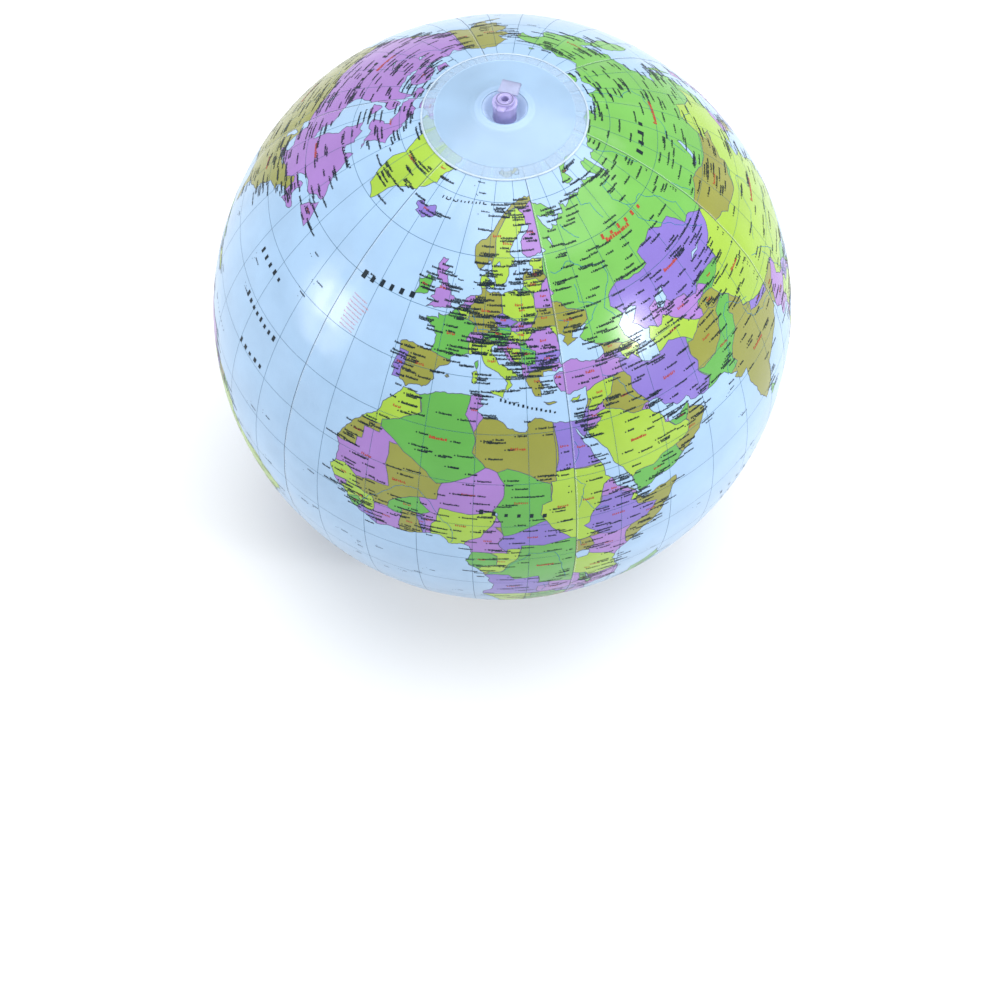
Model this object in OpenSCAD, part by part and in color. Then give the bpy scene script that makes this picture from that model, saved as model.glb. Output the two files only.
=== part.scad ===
// Inflatable world-map globe ball: six welded gores, two polar caps and a push-in
// inflation valve with a tethered stopper. Millimetres, +Z through the poles, origin
// where the polar axis meets the floor. The meridian of 0 degrees faces -Y.

/* [Ball] */
// Outer diameter at the equator, inflated
ball_d = 300; // [200:10:500]
// Pole-to-pole length over the equatorial diameter
pole_ratio = 1.05; // [0.95:0.01:1.08]
// Thickness of the PVC film
film_t = 0.25; // [0.2:0.05:0.5]
// Radius of the patch that flattens on the floor
base_r = 20; // [12:1:30]

/* [Seams and caps] */
// Gap that stands for the weld between two layers of film
weld_gap = 0.03; // [0.02:0.01:0.05]
// Width of a gore's lap under its neighbour, in degrees round the ball
lap_angle = 2.2; // [1:0.1:4]
// Radius of a polar cap's rim
cap_r = 38.8; // [30:0.2:48]
// Width of the band where a cap covers the ends of the gores
cap_lap = 6; // [4:0.5:8]
// Height of the embossed weld rings on a cap
ring_h = 0.3; // [0.1:0.05:0.5]
// Number of embossed weld rings on a cap
ring_count = 3; // [1:1:4]

/* [Valve] */
// Outer radius of the stem
stem_r = 5.6; // [4.5:0.1:6.5]
// Length of the stem
stem_len = 15; // [13:0.5:18]
// Height of the stem's mouth over the pole with the valve pushed in
stem_rise = 3; // [2:0.5:6]
// Radius of the stopper's seat in the stem's mouth
seat_r = 3.5; // [3.2:0.1:3.8]
// Depth of the stopper's seat
seat_depth = 6; // [5.5:0.5:7]
// Radius of the air passage under the seat
passage_r = 3; // [2.2:0.1:3]
// Outer radius of the flange under the north cap
flange_r = 14; // [12.5:0.5:18]
// Inner radius of the flange, where the diaphragm starts
moat_r = 10.5; // [9.5:0.1:11]
// Depth of the diaphragm's fold below the pole
moat_depth = 7; // [5:0.5:8]

/* [Stopper] */
// Radius of the stopper's head
head_r = 4.4; // [4:0.1:5]
// Height of the stopper's head
head_h = 1.8; // [1.7:0.1:2.5]
// Distance from the stem's axis to the fold of the tether
fold_y = 11.5; // [11:0.1:13]
// Width of the tether
tether_w = 9; // [3:0.5:10]
// Thickness of the tether
tether_t = 0.8; // [0.6:0.1:0.9]

/* [Hidden] */
$fn = 96;

// Skin: one arc through both poles and the equator, turned about the polar axis. Its
// centre lies arc_x behind the axis, so a ball that is longer than it is wide gets the
// slightly pointed poles of a gored ball.
eq_r = ball_d / 2;
pole_r = eq_r * pole_ratio;
arc_x = (pow(pole_r, 2) - pow(eq_r, 2)) / (2 * eq_r);
arc_r = eq_r + arc_x;
cap_out = weld_gap + film_t;
centre_z = skin_z(base_r) + cap_out;
pole_z = centre_z + pole_r;
gore_angle = 60;
gore_end = lat_at(cap_r - cap_lap);
cap_steps = 12;
lap_mid = -1.5 * film_t - weld_gap;

// Valve levels
rim_z = pole_z + stem_rise;
stem_end_z = rim_z - stem_len;
bead_r = stem_r + 0.3;
bead_h = 1.4;
slack = 0.05;
web_t = 0.5;
flange_t = 0.9;
flap_r = 4.8;
fold_z = rim_z + tether_t / 2;

// Height of the skin above the middle of the ball at radius r
function skin_z(r) = sqrt(pow(arc_r, 2) - pow(r + arc_x, 2));

// Latitude, as the angle at the arc's centre, where the skin has radius r
function lat_at(r) = acos((r + arc_x) / arc_r);

// Point at a latitude, d outside the skin
function skin_point(lat, d) =
    [(arc_r + d) * cos(lat) - arc_x, centre_z + (arc_r + d) * sin(lat)];

// Latitudes of a section's corners: its ends and every third degree between them, so that
// the sides of all layers run parallel
function section_lats(lat0, lat1) =
    concat([lat0], [for (a = [-75 : 3 : 75]) if (a > lat0 + 1 && a < lat1 - 1) a], [lat1]);

// Section of a layer of film between two latitudes, from d0 to d1 outside the skin
module layer(lat0, lat1, d0, d1) {
    lats = section_lats(lat0, lat1);
    last = len(lats) - 1;
    polygon(concat(
        [for (i = [0 : last]) skin_point(lats[i], d1)],
        [for (i = [last : -1 : 0]) skin_point(lats[i], d0)]
    ));
}

// A gore of film, the lap on its inside that the next gore is welded to, and the step
// between the two layers. The step and the lap start inside the film they grow from and
// stop short of its ends, so that no two of their faces fall on each other.
module gore(index) {
    rotate([0, 0, 240 + gore_angle * (index - 1)]) {
        rotate_extrude(angle = gore_angle)
            layer(-gore_end, gore_end, -film_t, 0);
        rotate([0, 0, gore_angle - 1.25])
            rotate_extrude(angle = 1.2)
                layer(-gore_end + 0.4, gore_end - 0.4, lap_mid, -film_t / 2);
        rotate([0, 0, gore_angle - 1.3])
            rotate_extrude(angle = lap_angle + 1.3)
                layer(-gore_end + 0.2, gore_end - 0.2, lap_mid - film_t / 2, lap_mid + film_t / 2);
    }
}

// Outside of a cap from its rim to radius r_end, as [radius, height over the film]
function cap_outline(r_end) =
    let (foot = 0.9, crest = 0.4, pitch = cap_lap / (ring_count + 1))
    concat(
        [[cap_r, 0]],
        [for (i = [1 : ring_count])
            let (r = cap_r - i * pitch)
            each [[r + foot / 2, 0], [r + crest / 2, ring_h],
                  [r - crest / 2, ring_h], [r - foot / 2, 0]]],
        spread(cap_r - cap_lap, r_end)
    );

// Flat points from radius r0 to r1 in equal steps
function spread(r0, r1) = [for (i = [0 : cap_steps]) [r0 + (r1 - r0) * i / cap_steps, 0]];

// Points [radius, height] set on the skin round a pole, d outside it
function on_skin(points, pole, d) =
    [for (p = points) skin_point(pole * lat_at(p[0]), d + p[1])];

// Cap round the valve: a ring of film from the rim to the valve's hole
module north_cap() {
    color("lightskyblue", 0.6)
        rotate_extrude()
            polygon(concat(
                on_skin(cap_outline(moat_r), 1, cap_out),
                on_skin(spread(moat_r, cap_r), 1, weld_gap)
            ));
}

// Cap at the foot: film from the rim to the flat patch that the ball rests on
module south_cap() {
    color("lightskyblue", 0.6)
        rotate_extrude()
            polygon(concat(
                on_skin(cap_outline(base_r + 1), -1, cap_out),
                [[base_r, 0], [0, 0], [0, film_t], [base_r, film_t]],
                on_skin(spread(base_r + 1, cap_r), -1, weld_gap)
            ));
}

// Ring welded under the north cap, which carries the valve
module valve_flange() {
    color("mediumpurple", 0.6)
        rotate_extrude()
            layer(lat_at(flange_r), lat_at(moat_r), -flange_t, 0);
}

// Thin web that folds inwards so that the stem can be pushed into the ball
module valve_diaphragm() {
    outer = [moat_r - slack, pole_z - flange_t];
    inner = [stem_r + slack, pole_z - moat_depth];
    rise = [0, web_t];
    color("mediumpurple", 0.5)
        rotate_extrude()
            polygon([outer, inner, inner - rise, outer - rise]);
}

// Tube with a beaded mouth, the stopper's seat and the air passage below it
module valve_stem() {
    mouth = 0.2;
    color("mediumpurple", 0.7)
        rotate_extrude()
            polygon([
                [passage_r, stem_end_z],
                [stem_r, stem_end_z],
                [stem_r, rim_z - bead_h - 0.3],
                [bead_r, rim_z - bead_h],
                [bead_r, rim_z],
                [seat_r + mouth, rim_z],
                [seat_r, rim_z - mouth],
                [seat_r, rim_z - seat_depth],
                [passage_r, rim_z - seat_depth]
            ]);
}

// Film disc that closes the stem's inner end when the air pushes back
module check_flap() {
    color("lavender", 0.5)
        translate([0, 0, stem_end_z - slack - film_t])
            cylinder(r = flap_r, h = film_t);
}

// Half of the tether that stays on the stem, ending in the rounded fold
module tether_root() {
    start_y = stem_r;
    color("mediumpurple", 0.7) {
        translate([-tether_w / 2, start_y, rim_z - tether_t])
            cube([tether_w, fold_y - start_y, tether_t]);
        translate([-tether_w / 2, fold_y, fold_z])
            rotate([0, 90, 0])
                cylinder(r = tether_t * 1.5, h = tether_w);
    }
}

// Half of the tether that lifts with the stopper
module tether_tip() {
    start_y = head_r - 0.4;
    end_y = fold_y - tether_t * 1.5 - 0.1;
    color("mediumpurple", 0.7)
        translate([-tether_w / 2, start_y, rim_z + tether_t])
            cube([tether_w, end_y - start_y, tether_t]);
}

// Hollow plug with a bullet nose that swings clear of its seat
module stopper() {
    nose = [[3.42, 0], [3.3, 1], [3.12, 2], [2.88, 3], [2.5, 4], [1.9, 4.8], [0, 5.1]];
    dimple_r = 1.7;
    dimple_floor = -4.2;
    lip_w = 4;
    lip_reach = 3.2;
    color("mediumpurple", 0.8)
        translate([0, 0, rim_z + slack]) {
            rotate_extrude()
                polygon(concat(
                    [[0, dimple_floor], [dimple_r, dimple_floor], [dimple_r, head_h]],
                    [[head_r, head_h], [head_r, 0]],
                    [for (p = nose) [p[0], -p[1]]]
                ));
            translate([-lip_w / 2, -head_r - lip_reach, 0.4])
                cube([lip_w, lip_reach + 0.5, tether_t]);
        }
}

module colored_gore(index) {
    inks = ["yellowgreen", "mediumpurple", "limegreen", "lightskyblue", "orchid", "darkkhaki"];
    color(inks[index - 1]) gore(index);
}

for (i = [1 : 6])
    colored_gore(i);
north_cap();
south_cap();
valve_flange();
valve_diaphragm();
valve_stem();
check_flap();
tether_root();
tether_tip();
stopper();
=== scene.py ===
"""Looks of an inflatable globe ball: printed gores, cap films and a push-in valve, in metres."""
import math

import bmesh
import bpy
import numpy as np
from mathutils import Matrix, Vector
from mathutils.geometry import delaunay_2d_cdt


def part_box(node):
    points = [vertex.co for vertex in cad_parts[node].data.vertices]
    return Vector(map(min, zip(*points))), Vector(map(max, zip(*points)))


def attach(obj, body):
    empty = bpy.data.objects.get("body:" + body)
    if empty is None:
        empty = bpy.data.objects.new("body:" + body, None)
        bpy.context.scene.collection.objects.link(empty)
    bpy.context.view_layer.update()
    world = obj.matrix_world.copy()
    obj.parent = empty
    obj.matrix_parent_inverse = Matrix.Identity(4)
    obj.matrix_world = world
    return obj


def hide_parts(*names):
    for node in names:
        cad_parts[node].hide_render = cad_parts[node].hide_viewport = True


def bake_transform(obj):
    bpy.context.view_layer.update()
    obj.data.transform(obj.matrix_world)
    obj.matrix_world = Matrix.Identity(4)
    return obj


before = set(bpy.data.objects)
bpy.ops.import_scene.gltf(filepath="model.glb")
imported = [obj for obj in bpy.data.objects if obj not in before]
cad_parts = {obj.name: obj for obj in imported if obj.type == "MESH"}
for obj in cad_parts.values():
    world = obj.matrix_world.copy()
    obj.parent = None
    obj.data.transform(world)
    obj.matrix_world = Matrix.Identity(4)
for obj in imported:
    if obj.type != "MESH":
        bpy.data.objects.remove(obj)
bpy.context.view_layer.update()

MM = 0.001

# ---------------------------------------------------------------- sizes, from the frame where it has them
stem_low, stem_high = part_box("valve_stem")
cap_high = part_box("north_cap")[1]
flange_low, flange_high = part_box("valve_flange")
web_low, web_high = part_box("valve_diaphragm")
flap_low, flap_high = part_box("check_flap")
root_low, root_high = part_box("tether_root")

EQ_R = 150 * MM                      # the CAD's ball_d / 2
POLE_R = EQ_R * 1.05                 # the CAD's pole_ratio
ARC_X = (POLE_R ** 2 - EQ_R ** 2) / (2 * EQ_R)
ARC_R = EQ_R + ARC_X
FILM = 0.25 * MM                     # the CAD's film_t
WELD_GAP = 0.03 * MM
CAP_R = cap_high.x
GORE_END_R = CAP_R - 6 * MM          # the gores end under the cap's lap
BASE_R = 20 * MM                     # the flat patch that the ball stands on
CENTRE_Z = math.sqrt(ARC_R ** 2 - (BASE_R + ARC_X) ** 2) + WELD_GAP + FILM
RIM_Z = stem_high.z
GORE = 60.0                          # degrees round the ball that one gore takes
HALF_GORE = GORE / 2
GORE_COUNT = 6
PRINT_STRETCH = 1.057                # the seams take in the edges of each gore's print
PRINT_LATS = (0, 60, 65, 71, 75, 80, 90)            # latitudes of the map, and where the print
BALL_LATS = (0, 59.9, 64.6, 70.1, 72.9, 74.8, 90)   # sets them, crowded towards the caps

# ---------------------------------------------------------------- the map, as longitude and latitude
# Coasts, going round each piece of land. Countries are laid over them in order, so a border is
# drawn by the later of its two countries, and an outline may run out over the sea.
LAND = {
    "africa": """-5.9 35.8 -2.9 35.3 -1.2 35.7 1 36.5 3 36.8 5.1 36.8 7.8 36.9 9.8 37.3 11 37 10.5 35.9
        11.1 35.2 10 34.2 11.2 33.2 13.2 32.9 15.2 32.3 16 31.3 18 30.6 19.6 30.4 20.1 31.2 20 32
        21.6 32.9 23.1 32.6 25.2 31.6 27.5 31.2 29 30.9 30.5 31.5 32.2 31.2 34.2 31.3 34.9 29.5
        34.3 27.8 32.6 29.9 33.6 27.9 34.1 26.5 35.5 24 37.2 21 37.3 19 38.5 18 39.5 15.6 41.2 14.6
        43 12.8 43.2 11.5 44.5 10.4 47 11.2 49 11.3 51.2 11.9 51.1 10.4 49.2 6.8 47.9 4.5 46 2.4
        43.7 0.8 42 -1 40.3 -2.6 39.2 -4.7 38.8 -6.3 39.5 -7 39.5 -9 40.5 -10.8 40.7 -13 40.6 -15.2
        39.1 -16.9 37 -17.9 34.8 -19.9 35.5 -22 35.5 -24 32.9 -25.5 32.6 -28 31.2 -29.8 29.5 -31.6
        27.5 -33.2 25.6 -34 22.5 -34.1 20 -34.8 18.4 -34.2 18.2 -32.8 17.2 -30 15.8 -27.8 14.8 -25.5
        14.4 -22.5 12.8 -19 11.8 -17.5 12.4 -14.5 13.6 -12.5 13.8 -10.7 12.9 -9 13 -7.5 12.2 -6 11.2 -4
        9.5 -2.5 8.8 -0.8 9.5 0.8 9.7 2.5 9.5 4 8.5 4.6 7 4.4 5.9 4.3 5 5.8 4 6.4 2 6.3 0.8 5.8 -1.2 5.1
        -3 5.1 -4.5 5.2 -7.5 4.4 -9.3 5.8 -11.3 6.9 -12.6 7.6 -13.3 8.9 -14.6 10.7 -16.4 12.2 -16.8 13.3
        -17.5 14.7 -16.5 16 -16.2 18.5 -16.3 19.8 -17 21 -15.8 23.9 -14.6 26 -12.9 27.8 -11 29 -9.8 30.3
        -9.4 32 -7.6 33.6 -6.4 34.8""",
    "madagascar": """49.3 -12 50.4 -15.6 49.6 -17 48.8 -20 47.3 -24.6 45.3 -25.5 43.7 -23.4 44.3 -20.5
        44.3 -16.5 46.2 -15.8 47.9 -14""",
    "eurasia": """-9 37 -8.8 38.4 -9.5 38.8 -8.8 40.8 -8.9 42.2 -9.2 43.1 -7.8 43.7 -5.8 43.6 -3.8 43.5
        -1.8 43.4 -1.2 44.6 -1.2 46 -2.5 47.3 -4.7 48 -4.7 48.6 -3 48.8 -1.6 48.7 -1.9 49.7 -1.2 49.4
        0.2 49.6 1.5 50.2 2.5 51.1 3.6 51.5 4.3 52.2 4.8 53 6.9 53.5 8.3 53.7 8.9 54 8.6 54.9 8.1 55.6
        8.2 56.8 9.5 57.2 10.6 57.7 10.3 56.6 10.9 56.3 9.7 55.5 9.9 54.8 10.9 54.3 12.3 54.4 13.6 54.5
        14.3 53.9 16.5 54.5 18.5 54.8 19.5 54.4 21 55.2 21 56.8 21.6 57.5 22.6 57.7 23.2 57 24.3 57.2
        24.4 58.3 23.5 58.6 23.5 59.2 25.5 59.6 28 59.5 30 59.9 28.5 60.5 27 60.5 25 60.1 22.9 59.9
        21.4 60.8 21.4 61.8 21.3 62.8 22.5 63.8 24.5 64.8 25.3 65.4 24.2 65.8 22.2 65.6 21.5 64.5
        20 63.6 18.3 62.5 17.3 61.5 17.2 60.7 18.8 60 18 58.9 16.7 58.4 16.5 57 15.8 56.1 14.3 55.5
        12.9 55.5 12.5 56.3 11.3 58.5 10.6 59.5 9.5 58.9 7 58 5.6 58.8 5.1 60.5 5.1 62 7 63 9.5 63.9
        11 64.8 12.5 66.2 14.5 67.6 16.5 68.6 19 69.8 22 70.5 25.7 71.1 28.5 71 31 70.3 33.5 69.4
        37 68.7 41 67.3 40.5 66.4 37 66.3 34.5 66.7 32.8 67.1 34.8 65 37 63.9 38 64.2 37.8 65 40 64.6
        40.3 65.5 42.2 66.4 44 66.1 44.2 68.2 46 67.8 46.5 66.9 49 67.8 53.5 68.6 54.5 68.3 57.5 68.7
        60.5 69 60.8 69.8 65 69.2 67 68.9 68.5 68.3 69 69 66.8 70 67 71.3 69 72.8 72.5 72.8 72.8 71
        74 68 72.5 66.6 74.8 67.8 75 71.5 78 72.3 80.5 72 80.5 73.6 87 75 95 76 104 77.7 111 76.5
        113.5 75.5 107 73.2 113 73.8 119 73 127 73.5 129 71 132 71.5 140 72.5 150 71.5 160 69.8 170 70
        178 69.3 190.3 66.1 187.5 64.4 181 65.5 178.5 64.6 179.5 62.4 174 61.7 170.5 60 164 59.9
        162.5 58.2 163.2 56.1 162 54.8 159.8 53.2 156.7 51 155.6 54.5 156 57 158.5 58.8 161.9 60.4
        163.8 62.5 160 61.8 156.5 61.5 154.5 59.5 149 59.4 142.5 59.2 138 56 135.3 54.7 139.5 54.1
        141.3 53.2 140.4 50.5 140 48.5 136 44.8 133 42.8 130.8 42.3 129.7 41 127.6 39.8 128.4 38.5
        129.5 36.8 129.2 35.2 126.5 34.4 126.5 36.8 125 38 125.3 39.5 122 39 121.2 38.8 121.5 40.7
        118.5 39.1 117.7 38.5 119.2 37.3 122.5 37.3 120.5 36 119.3 35 121 32.8 121.9 31.2 121.8 29.5
        120.5 27.8 119.5 25.6 117 23.6 114.3 22.4 111.5 21.6 110.4 20.4 109.6 21.6 108 21.6 106.7 20.2
        105.7 18.8 107.5 16.6 109.2 13.5 109 11.5 107 10.4 105.3 8.8 104.8 10.2 103.2 11 101 12.8
        100.3 13.5 99.8 11.8 99.3 9.3 100.5 7.2 102.5 6 103.4 4 104.2 1.4 103.3 1.4 101.3 3 100.4 5.8
        98.3 8 98.7 10.5 98 13.5 97.6 16.5 95.5 15.8 94.3 16.2 94.5 18.5 92.5 20.8 91.8 22.5 90 22
        88.2 21.7 87 21.2 86.5 20 84 18.3 82.3 16.7 80.3 15.5 80.2 13.2 79.8 10.5 78.8 9.3 77.5 8.1
        76.3 10 74.8 13 73.6 16 72.8 19 72.7 21.3 70.8 20.8 69 22.3 70 22.8 68.2 23.7 66.7 25.3
        61.5 25.1 57.3 25.7 56.5 27.1 54 26.6 51.5 27.9 50.2 30 48.6 30 47.9 29.5 48.8 27.6 50.2 26.5
        51 24.7 51.5 25.8 51.6 24.2 54 24.1 56.2 26.1 56.6 24.4 58.7 23.6 59.8 22.5 58.6 20.4 57.7 19
        55.2 17.5 52.2 15.6 49 14.2 45 12.8 43.4 12.7 42.8 14.8 42.3 16.8 40.8 19.5 39.1 21.5 38.5 23.7
        36.9 26 35.2 28 34.9 29.5 34.2 31.3 35 32.8 35.9 35 36 36.9 34.5 36.6 32.5 36.1 30.6 36.8
        29 36.4 27.4 36.9 26.4 38.4 26.2 39.8 27.5 40.4 29 40.5 29.1 41.1 31.4 41.3 33.3 42 35.1 42
        36.5 41.2 38.5 41 41.5 41.5 41.4 42.7 39.5 43.8 37.4 44.8 36.8 45.3 38.2 46.4 39.2 47.2 37.5 47
        35.3 46.4 35 45.7 36.5 45.4 35.4 45 33.6 44.4 32.6 45.4 33.4 46.1 31.5 46.6 30.7 46.4 29.6 45.3
        28.6 43.8 27.9 42.8 28.1 41.6 29 41.2 27.5 41 26.8 40.5 26.1 40.7 24 40.8 23.9 40 22.8 40.4
        22.9 39.4 24 38 23 37.8 23.1 36.5 21.8 36.8 21.2 38.2 20 39.6 19.4 40.4 19.4 41.8 18.3 42.6
        16 43.5 14.9 44.9 13.8 44.9 13.7 45.7 12.3 45.3 12.4 44.3 13.6 43.6 14.2 42.4 16.1 41.8
        17.9 40.9 18.5 40.1 17 40.5 16.6 39.7 17.1 39 16.1 38 15.7 38.2 16.1 39.3 15.3 40.1 14 41.1
        12.2 41.8 10.5 43 10 44 8.8 44.4 7.5 43.8 5.5 43.3 4 43.5 3.1 43 3.2 42 0.9 41 -0.3 39.7
        0.2 38.7 -0.7 37.7 -2.1 36.8 -4.4 36.7 -5.6 36 -6.3 36.8 -7.4 37.2""",
    "britain": """-5.7 50.1 -3.5 50.3 -1.3 50.7 1.3 51.1 0.6 51.5 1.7 52.6 0.3 53 0.1 53.6 -1.5 55
        -2.1 56 -3.2 56.1 -1.9 57.5 -4 57.6 -3.1 58.6 -5 58.6 -5.8 57.4 -5.5 56.2 -4.8 55 -3.2 54.9
        -3 53.8 -4.5 53.3 -4.3 52.3 -5.2 51.8 -3 51.4 -4.3 51.1""",
    "ireland": "-6.2 53.5 -6.3 52.2 -9.8 51.5 -9.2 53 -10 54.2 -8.3 54.5 -7.8 55.3 -5.8 54.8",
    "iceland": """-24.3 65.5 -22.2 66.4 -20.5 65.7 -18 66.1 -16 66.5 -14.6 65.4 -13.7 64.9 -15.5 64.2
        -18.8 63.4 -20.7 63.7 -22.7 63.9 -22 64.5 -24 64.9""",
    "svalbard": "11 79.6 16 80 21 80 27 80.1 21 78.6 17 76.6 14 77.7",
    "novaya_zemlya": "51.8 71.5 55 70.6 57.5 70.7 56 73 60.5 75.2 68.5 76.6 66 77 58 75.9 54 73.5",
    "wrangel": "178.5 71 182 71 181 71.6",
    "new_siberia": "137.5 75.5 143 73.3 150 75.2 144 76",
    "kolguev": "48.3 69 49.3 68.7 49.5 69.3",
    "zealand": "11 55.2 12.5 56.1 12.3 55.1",
    "gotland": "18.2 57.1 18.8 57.9 19.2 57.9",
    "corsica": "8.6 42.4 9.4 43 9.5 42.1 9.2 41.4",
    "sardinia": "8.4 39.1 8.2 40.8 9.2 41.2 9.7 40.5 9.5 39.2 8.8 38.9",
    "sicily": "12.5 37.9 15.6 38.2 15.1 36.7 12.5 37.6",
    "crete": "23.5 35.6 26.3 35.2 24.7 34.9",
    "cyprus": "32.3 34.9 33 35.4 34.6 35.7 33.6 34.8",
    "majorca": "2.4 39.6 3.1 39.9 3.4 39.5 2.9 39.3",
    "sakhalin": "142 46 143.5 49.2 143 52 142.7 54.3 142 52 142 49",
    "honshu": """130 31.3 131.4 31.5 132 33.8 135.8 33.5 138.5 34.7 140.8 35.7 142 39.6 141.2 41.4
        140 40.5 139 38 136.8 37.3 136 35.7 132.5 35.4 130.9 34 129.7 33""",
    "hokkaido": "140 41.6 143.2 42 145.4 43.3 142 45.4 141.3 43.2",
    "taiwan": "120.2 23 121 22 121.8 24.8 121.3 25.2",
    "hainan": "108.7 19 110 18.4 111 19.9 109.5 20",
    "luzon": "120.3 16 120.7 18.5 122.2 18.4 121.7 16 124 13 122 13.7 120.7 13.8",
    "mindanao": "122 7 125.5 6 126.4 8.5 125.5 9.8 123.5 8.5",
    "visayas": "122 10.5 124.9 10.2 125.3 12.5 123 11.7",
    "borneo": """109 1.5 110 -1.5 110.3 -3 113 -3.2 116 -4 117.6 -1 119 1 117.8 3.5 119.2 5.3 117 7
        115.5 5.5 113 3.2 111.3 2.4 109.7 2""",
    "sumatra": "95.3 5.6 97.5 5.2 100.5 2.3 103.5 -1 106 -3 105.8 -5.8 104 -5.5 101 -2.6 98.7 1.6",
    "java": "105.3 -6.8 108.5 -6.7 110.9 -6.5 114.4 -7.8 114.3 -8.6 110 -8.1 106.5 -7.4",
    "sulawesi": """119.5 -5.5 120.4 -3 121.5 -4.5 122.5 -5 122 -3 121 -1.5 123.3 -0.9 121 0.4 124.8 1.5
        120.8 1.2 119.8 0 119 -3.5""",
    "timor": "123.5 -10.3 124.5 -9.2 127.2 -8.4 125 -9.8",
    "flores": "119 -8.6 122.8 -8.4 120 -9",
    "halmahera": "127.5 1 128 2.2 128.6 1.2 128 -0.5",
    "seram": "128 -3.2 130.8 -3.1 130 -3.6",
    "new_guinea": """131 -0.8 134 -0.8 135 -3.3 137.9 -1.5 141 -2.6 144.5 -3.8 147.8 -6 147.2 -6.8
        150.7 -10.5 147 -9.5 143.5 -8.5 141 -9.1 138 -8.3 138 -5.5 133 -4 132 -2.8""",
    "new_britain": "148.5 -5.8 151.5 -4.2 152.2 -4.4 150.5 -6.2",
    "sri_lanka": "79.8 8 80.2 9.7 81.8 7.5 81 6.1 80 6.2",
    "australia": """113.7 -22.5 114.2 -26.3 115.7 -31.5 115 -34.2 118 -35 121.5 -33.9 124 -33.1
        129 -31.6 131.5 -31.5 134.5 -33 135.8 -34.8 137.8 -33 138.3 -35.5 140.5 -38 144 -38.4 146.4 -39
        150 -37.4 151.3 -33.8 153 -31 153.5 -28 152.8 -25 149.5 -21.8 146.4 -19 145.5 -15 143.5 -14.2
        142.5 -10.8 141.5 -13.5 140.8 -17.5 139.3 -17.4 136.8 -15.8 135.5 -14.8 136.8 -12.2 132.5 -11.5
        130.6 -12.6 129 -15 126.5 -14 123.8 -16.5 122.2 -18 119 -20 116.7 -20.6""",
    "tasmania": "144.7 -40.8 148.2 -40.8 147.8 -43.2 146 -43.5",
    "north_island": "172.7 -34.5 174.8 -36.8 178.4 -37.7 177 -39.6 175.3 -41.6 173.8 -39.3 174.7 -38",
    "south_island": "172.7 -40.6 174.3 -41.7 172.8 -43.8 170.7 -45.9 168.4 -46.6 166.5 -45.8 171 -42.4",
    "new_caledonia": "164 -20.2 167 -22.2 166.3 -22.4",
    "north_america": """-156.5 71.3 -150 70.5 -141 69.7 -135 69 -128 70 -124 70 -121 69.8 -115 68.2
        -108.5 68 -108 67.5 -102 67.8 -97 68 -96 69 -94.5 71.9 -92 70 -88 68 -85.5 69.6 -82 69
        -81.5 67.5 -86.5 66.3 -88 64.3 -93 62 -94.5 60 -94.7 58.8 -92.5 57 -88 56.5 -82.3 55.1 -82.3 53
        -79 51.3 -79 54.5 -76.7 57.2 -78.5 58.8 -77.5 60.2 -78 62.4 -73.5 62.4 -71.5 61.2 -69.5 60.8
        -69.7 59 -67.5 58.3 -65.5 59.8 -64.5 60.3 -62 57.8 -60.5 55.6 -56 53 -55.8 52 -60 50.2
        -66.5 50.2 -69.5 47.8 -65 49.2 -64.3 48.5 -65 47.8 -64.5 46.2 -61 45.7 -61 45.2 -64 44.4
        -66 43.6 -66 44.8 -67 44.8 -70 43.7 -70.7 42.5 -70 41.7 -74 40.6 -74.5 39.3 -75.5 38 -76 37
        -75.7 35.3 -78 33.9 -81 32 -81.4 30.3 -80.1 27 -80.4 25.3 -81.7 26 -82.8 28 -84 30 -86 30.4
        -89.3 30.3 -89.3 29.2 -91.5 29.5 -94.7 29.4 -97.3 27.8 -97.2 25.8 -97.8 22.5 -96 19 -94.5 18.2
        -92 18.6 -90.5 20 -90.3 21.1 -87.1 21.5 -87.5 19.5 -88.3 18.3 -88.3 16 -86 15.9 -83.3 15
        -83.6 12.5 -83.5 11 -82 9 -79.6 9.5 -77.5 8.5 -78 7.5 -79.5 8.9 -80.4 7.4 -82.8 8.2 -84.8 9.8
        -85.8 11 -87.6 13 -91.5 14 -94 16.1 -96.5 15.7 -100 17 -102.5 18 -105.5 20.2 -105.5 22 -108 25
        -109.5 26.5 -112 29 -113.2 31.2 -114.7 31.6 -112.8 28 -110.3 24.3 -109.5 23 -112 25 -112.2 26.2
        -115 28 -114.5 29 -116 30.7 -117.2 32.7 -118.5 34 -120.6 34.6 -122 36.8 -123.8 39.2 -124.3 40.4
        -124 43.5 -124 46.2 -124.7 48.4 -122.6 48 -123 49.2 -127.5 51 -130 54 -131.5 55.5 -135 58.3
        -139.5 59.7 -144 60 -148 60.8 -151.5 59.3 -151.5 61 -154 58.7 -158 56.5 -163.5 54.8 -162 55.9
        -157.7 57.7 -158.5 58.8 -162 58.7 -162 60 -165.5 61.5 -164.5 63 -161 64.2 -165 64.5 -168 65.6
        -164 66.4 -162 66.2 -166.5 68.3 -163 69.5""",
    "greenland": """-73 78.2 -68 76 -59 75.6 -54.5 72 -51.5 69.8 -53.5 67.5 -52 65 -49 61.5 -44 60
        -42.5 61.5 -40 65 -34 66.6 -26 68.4 -22 70.2 -22 72.5 -19 74.8 -20 77.5 -18 80 -30 83 -60 82
        -67 80.5""",
    "baffin": """-80 73.7 -72 71.5 -68 70.3 -62 66.8 -66 65 -68 63 -65 61.9 -72 64.3 -78 64.5 -73.5 67
        -72.5 68.3 -79 69.7 -85 70 -89.5 71.2 -89 73.3""",
    "victoria": "-116.5 69 -105 69 -101.5 70 -105 73 -112 73 -118 71.5",
    "banks": "-125 72 -120 71.5 -117 73.5 -124 74.3",
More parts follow.
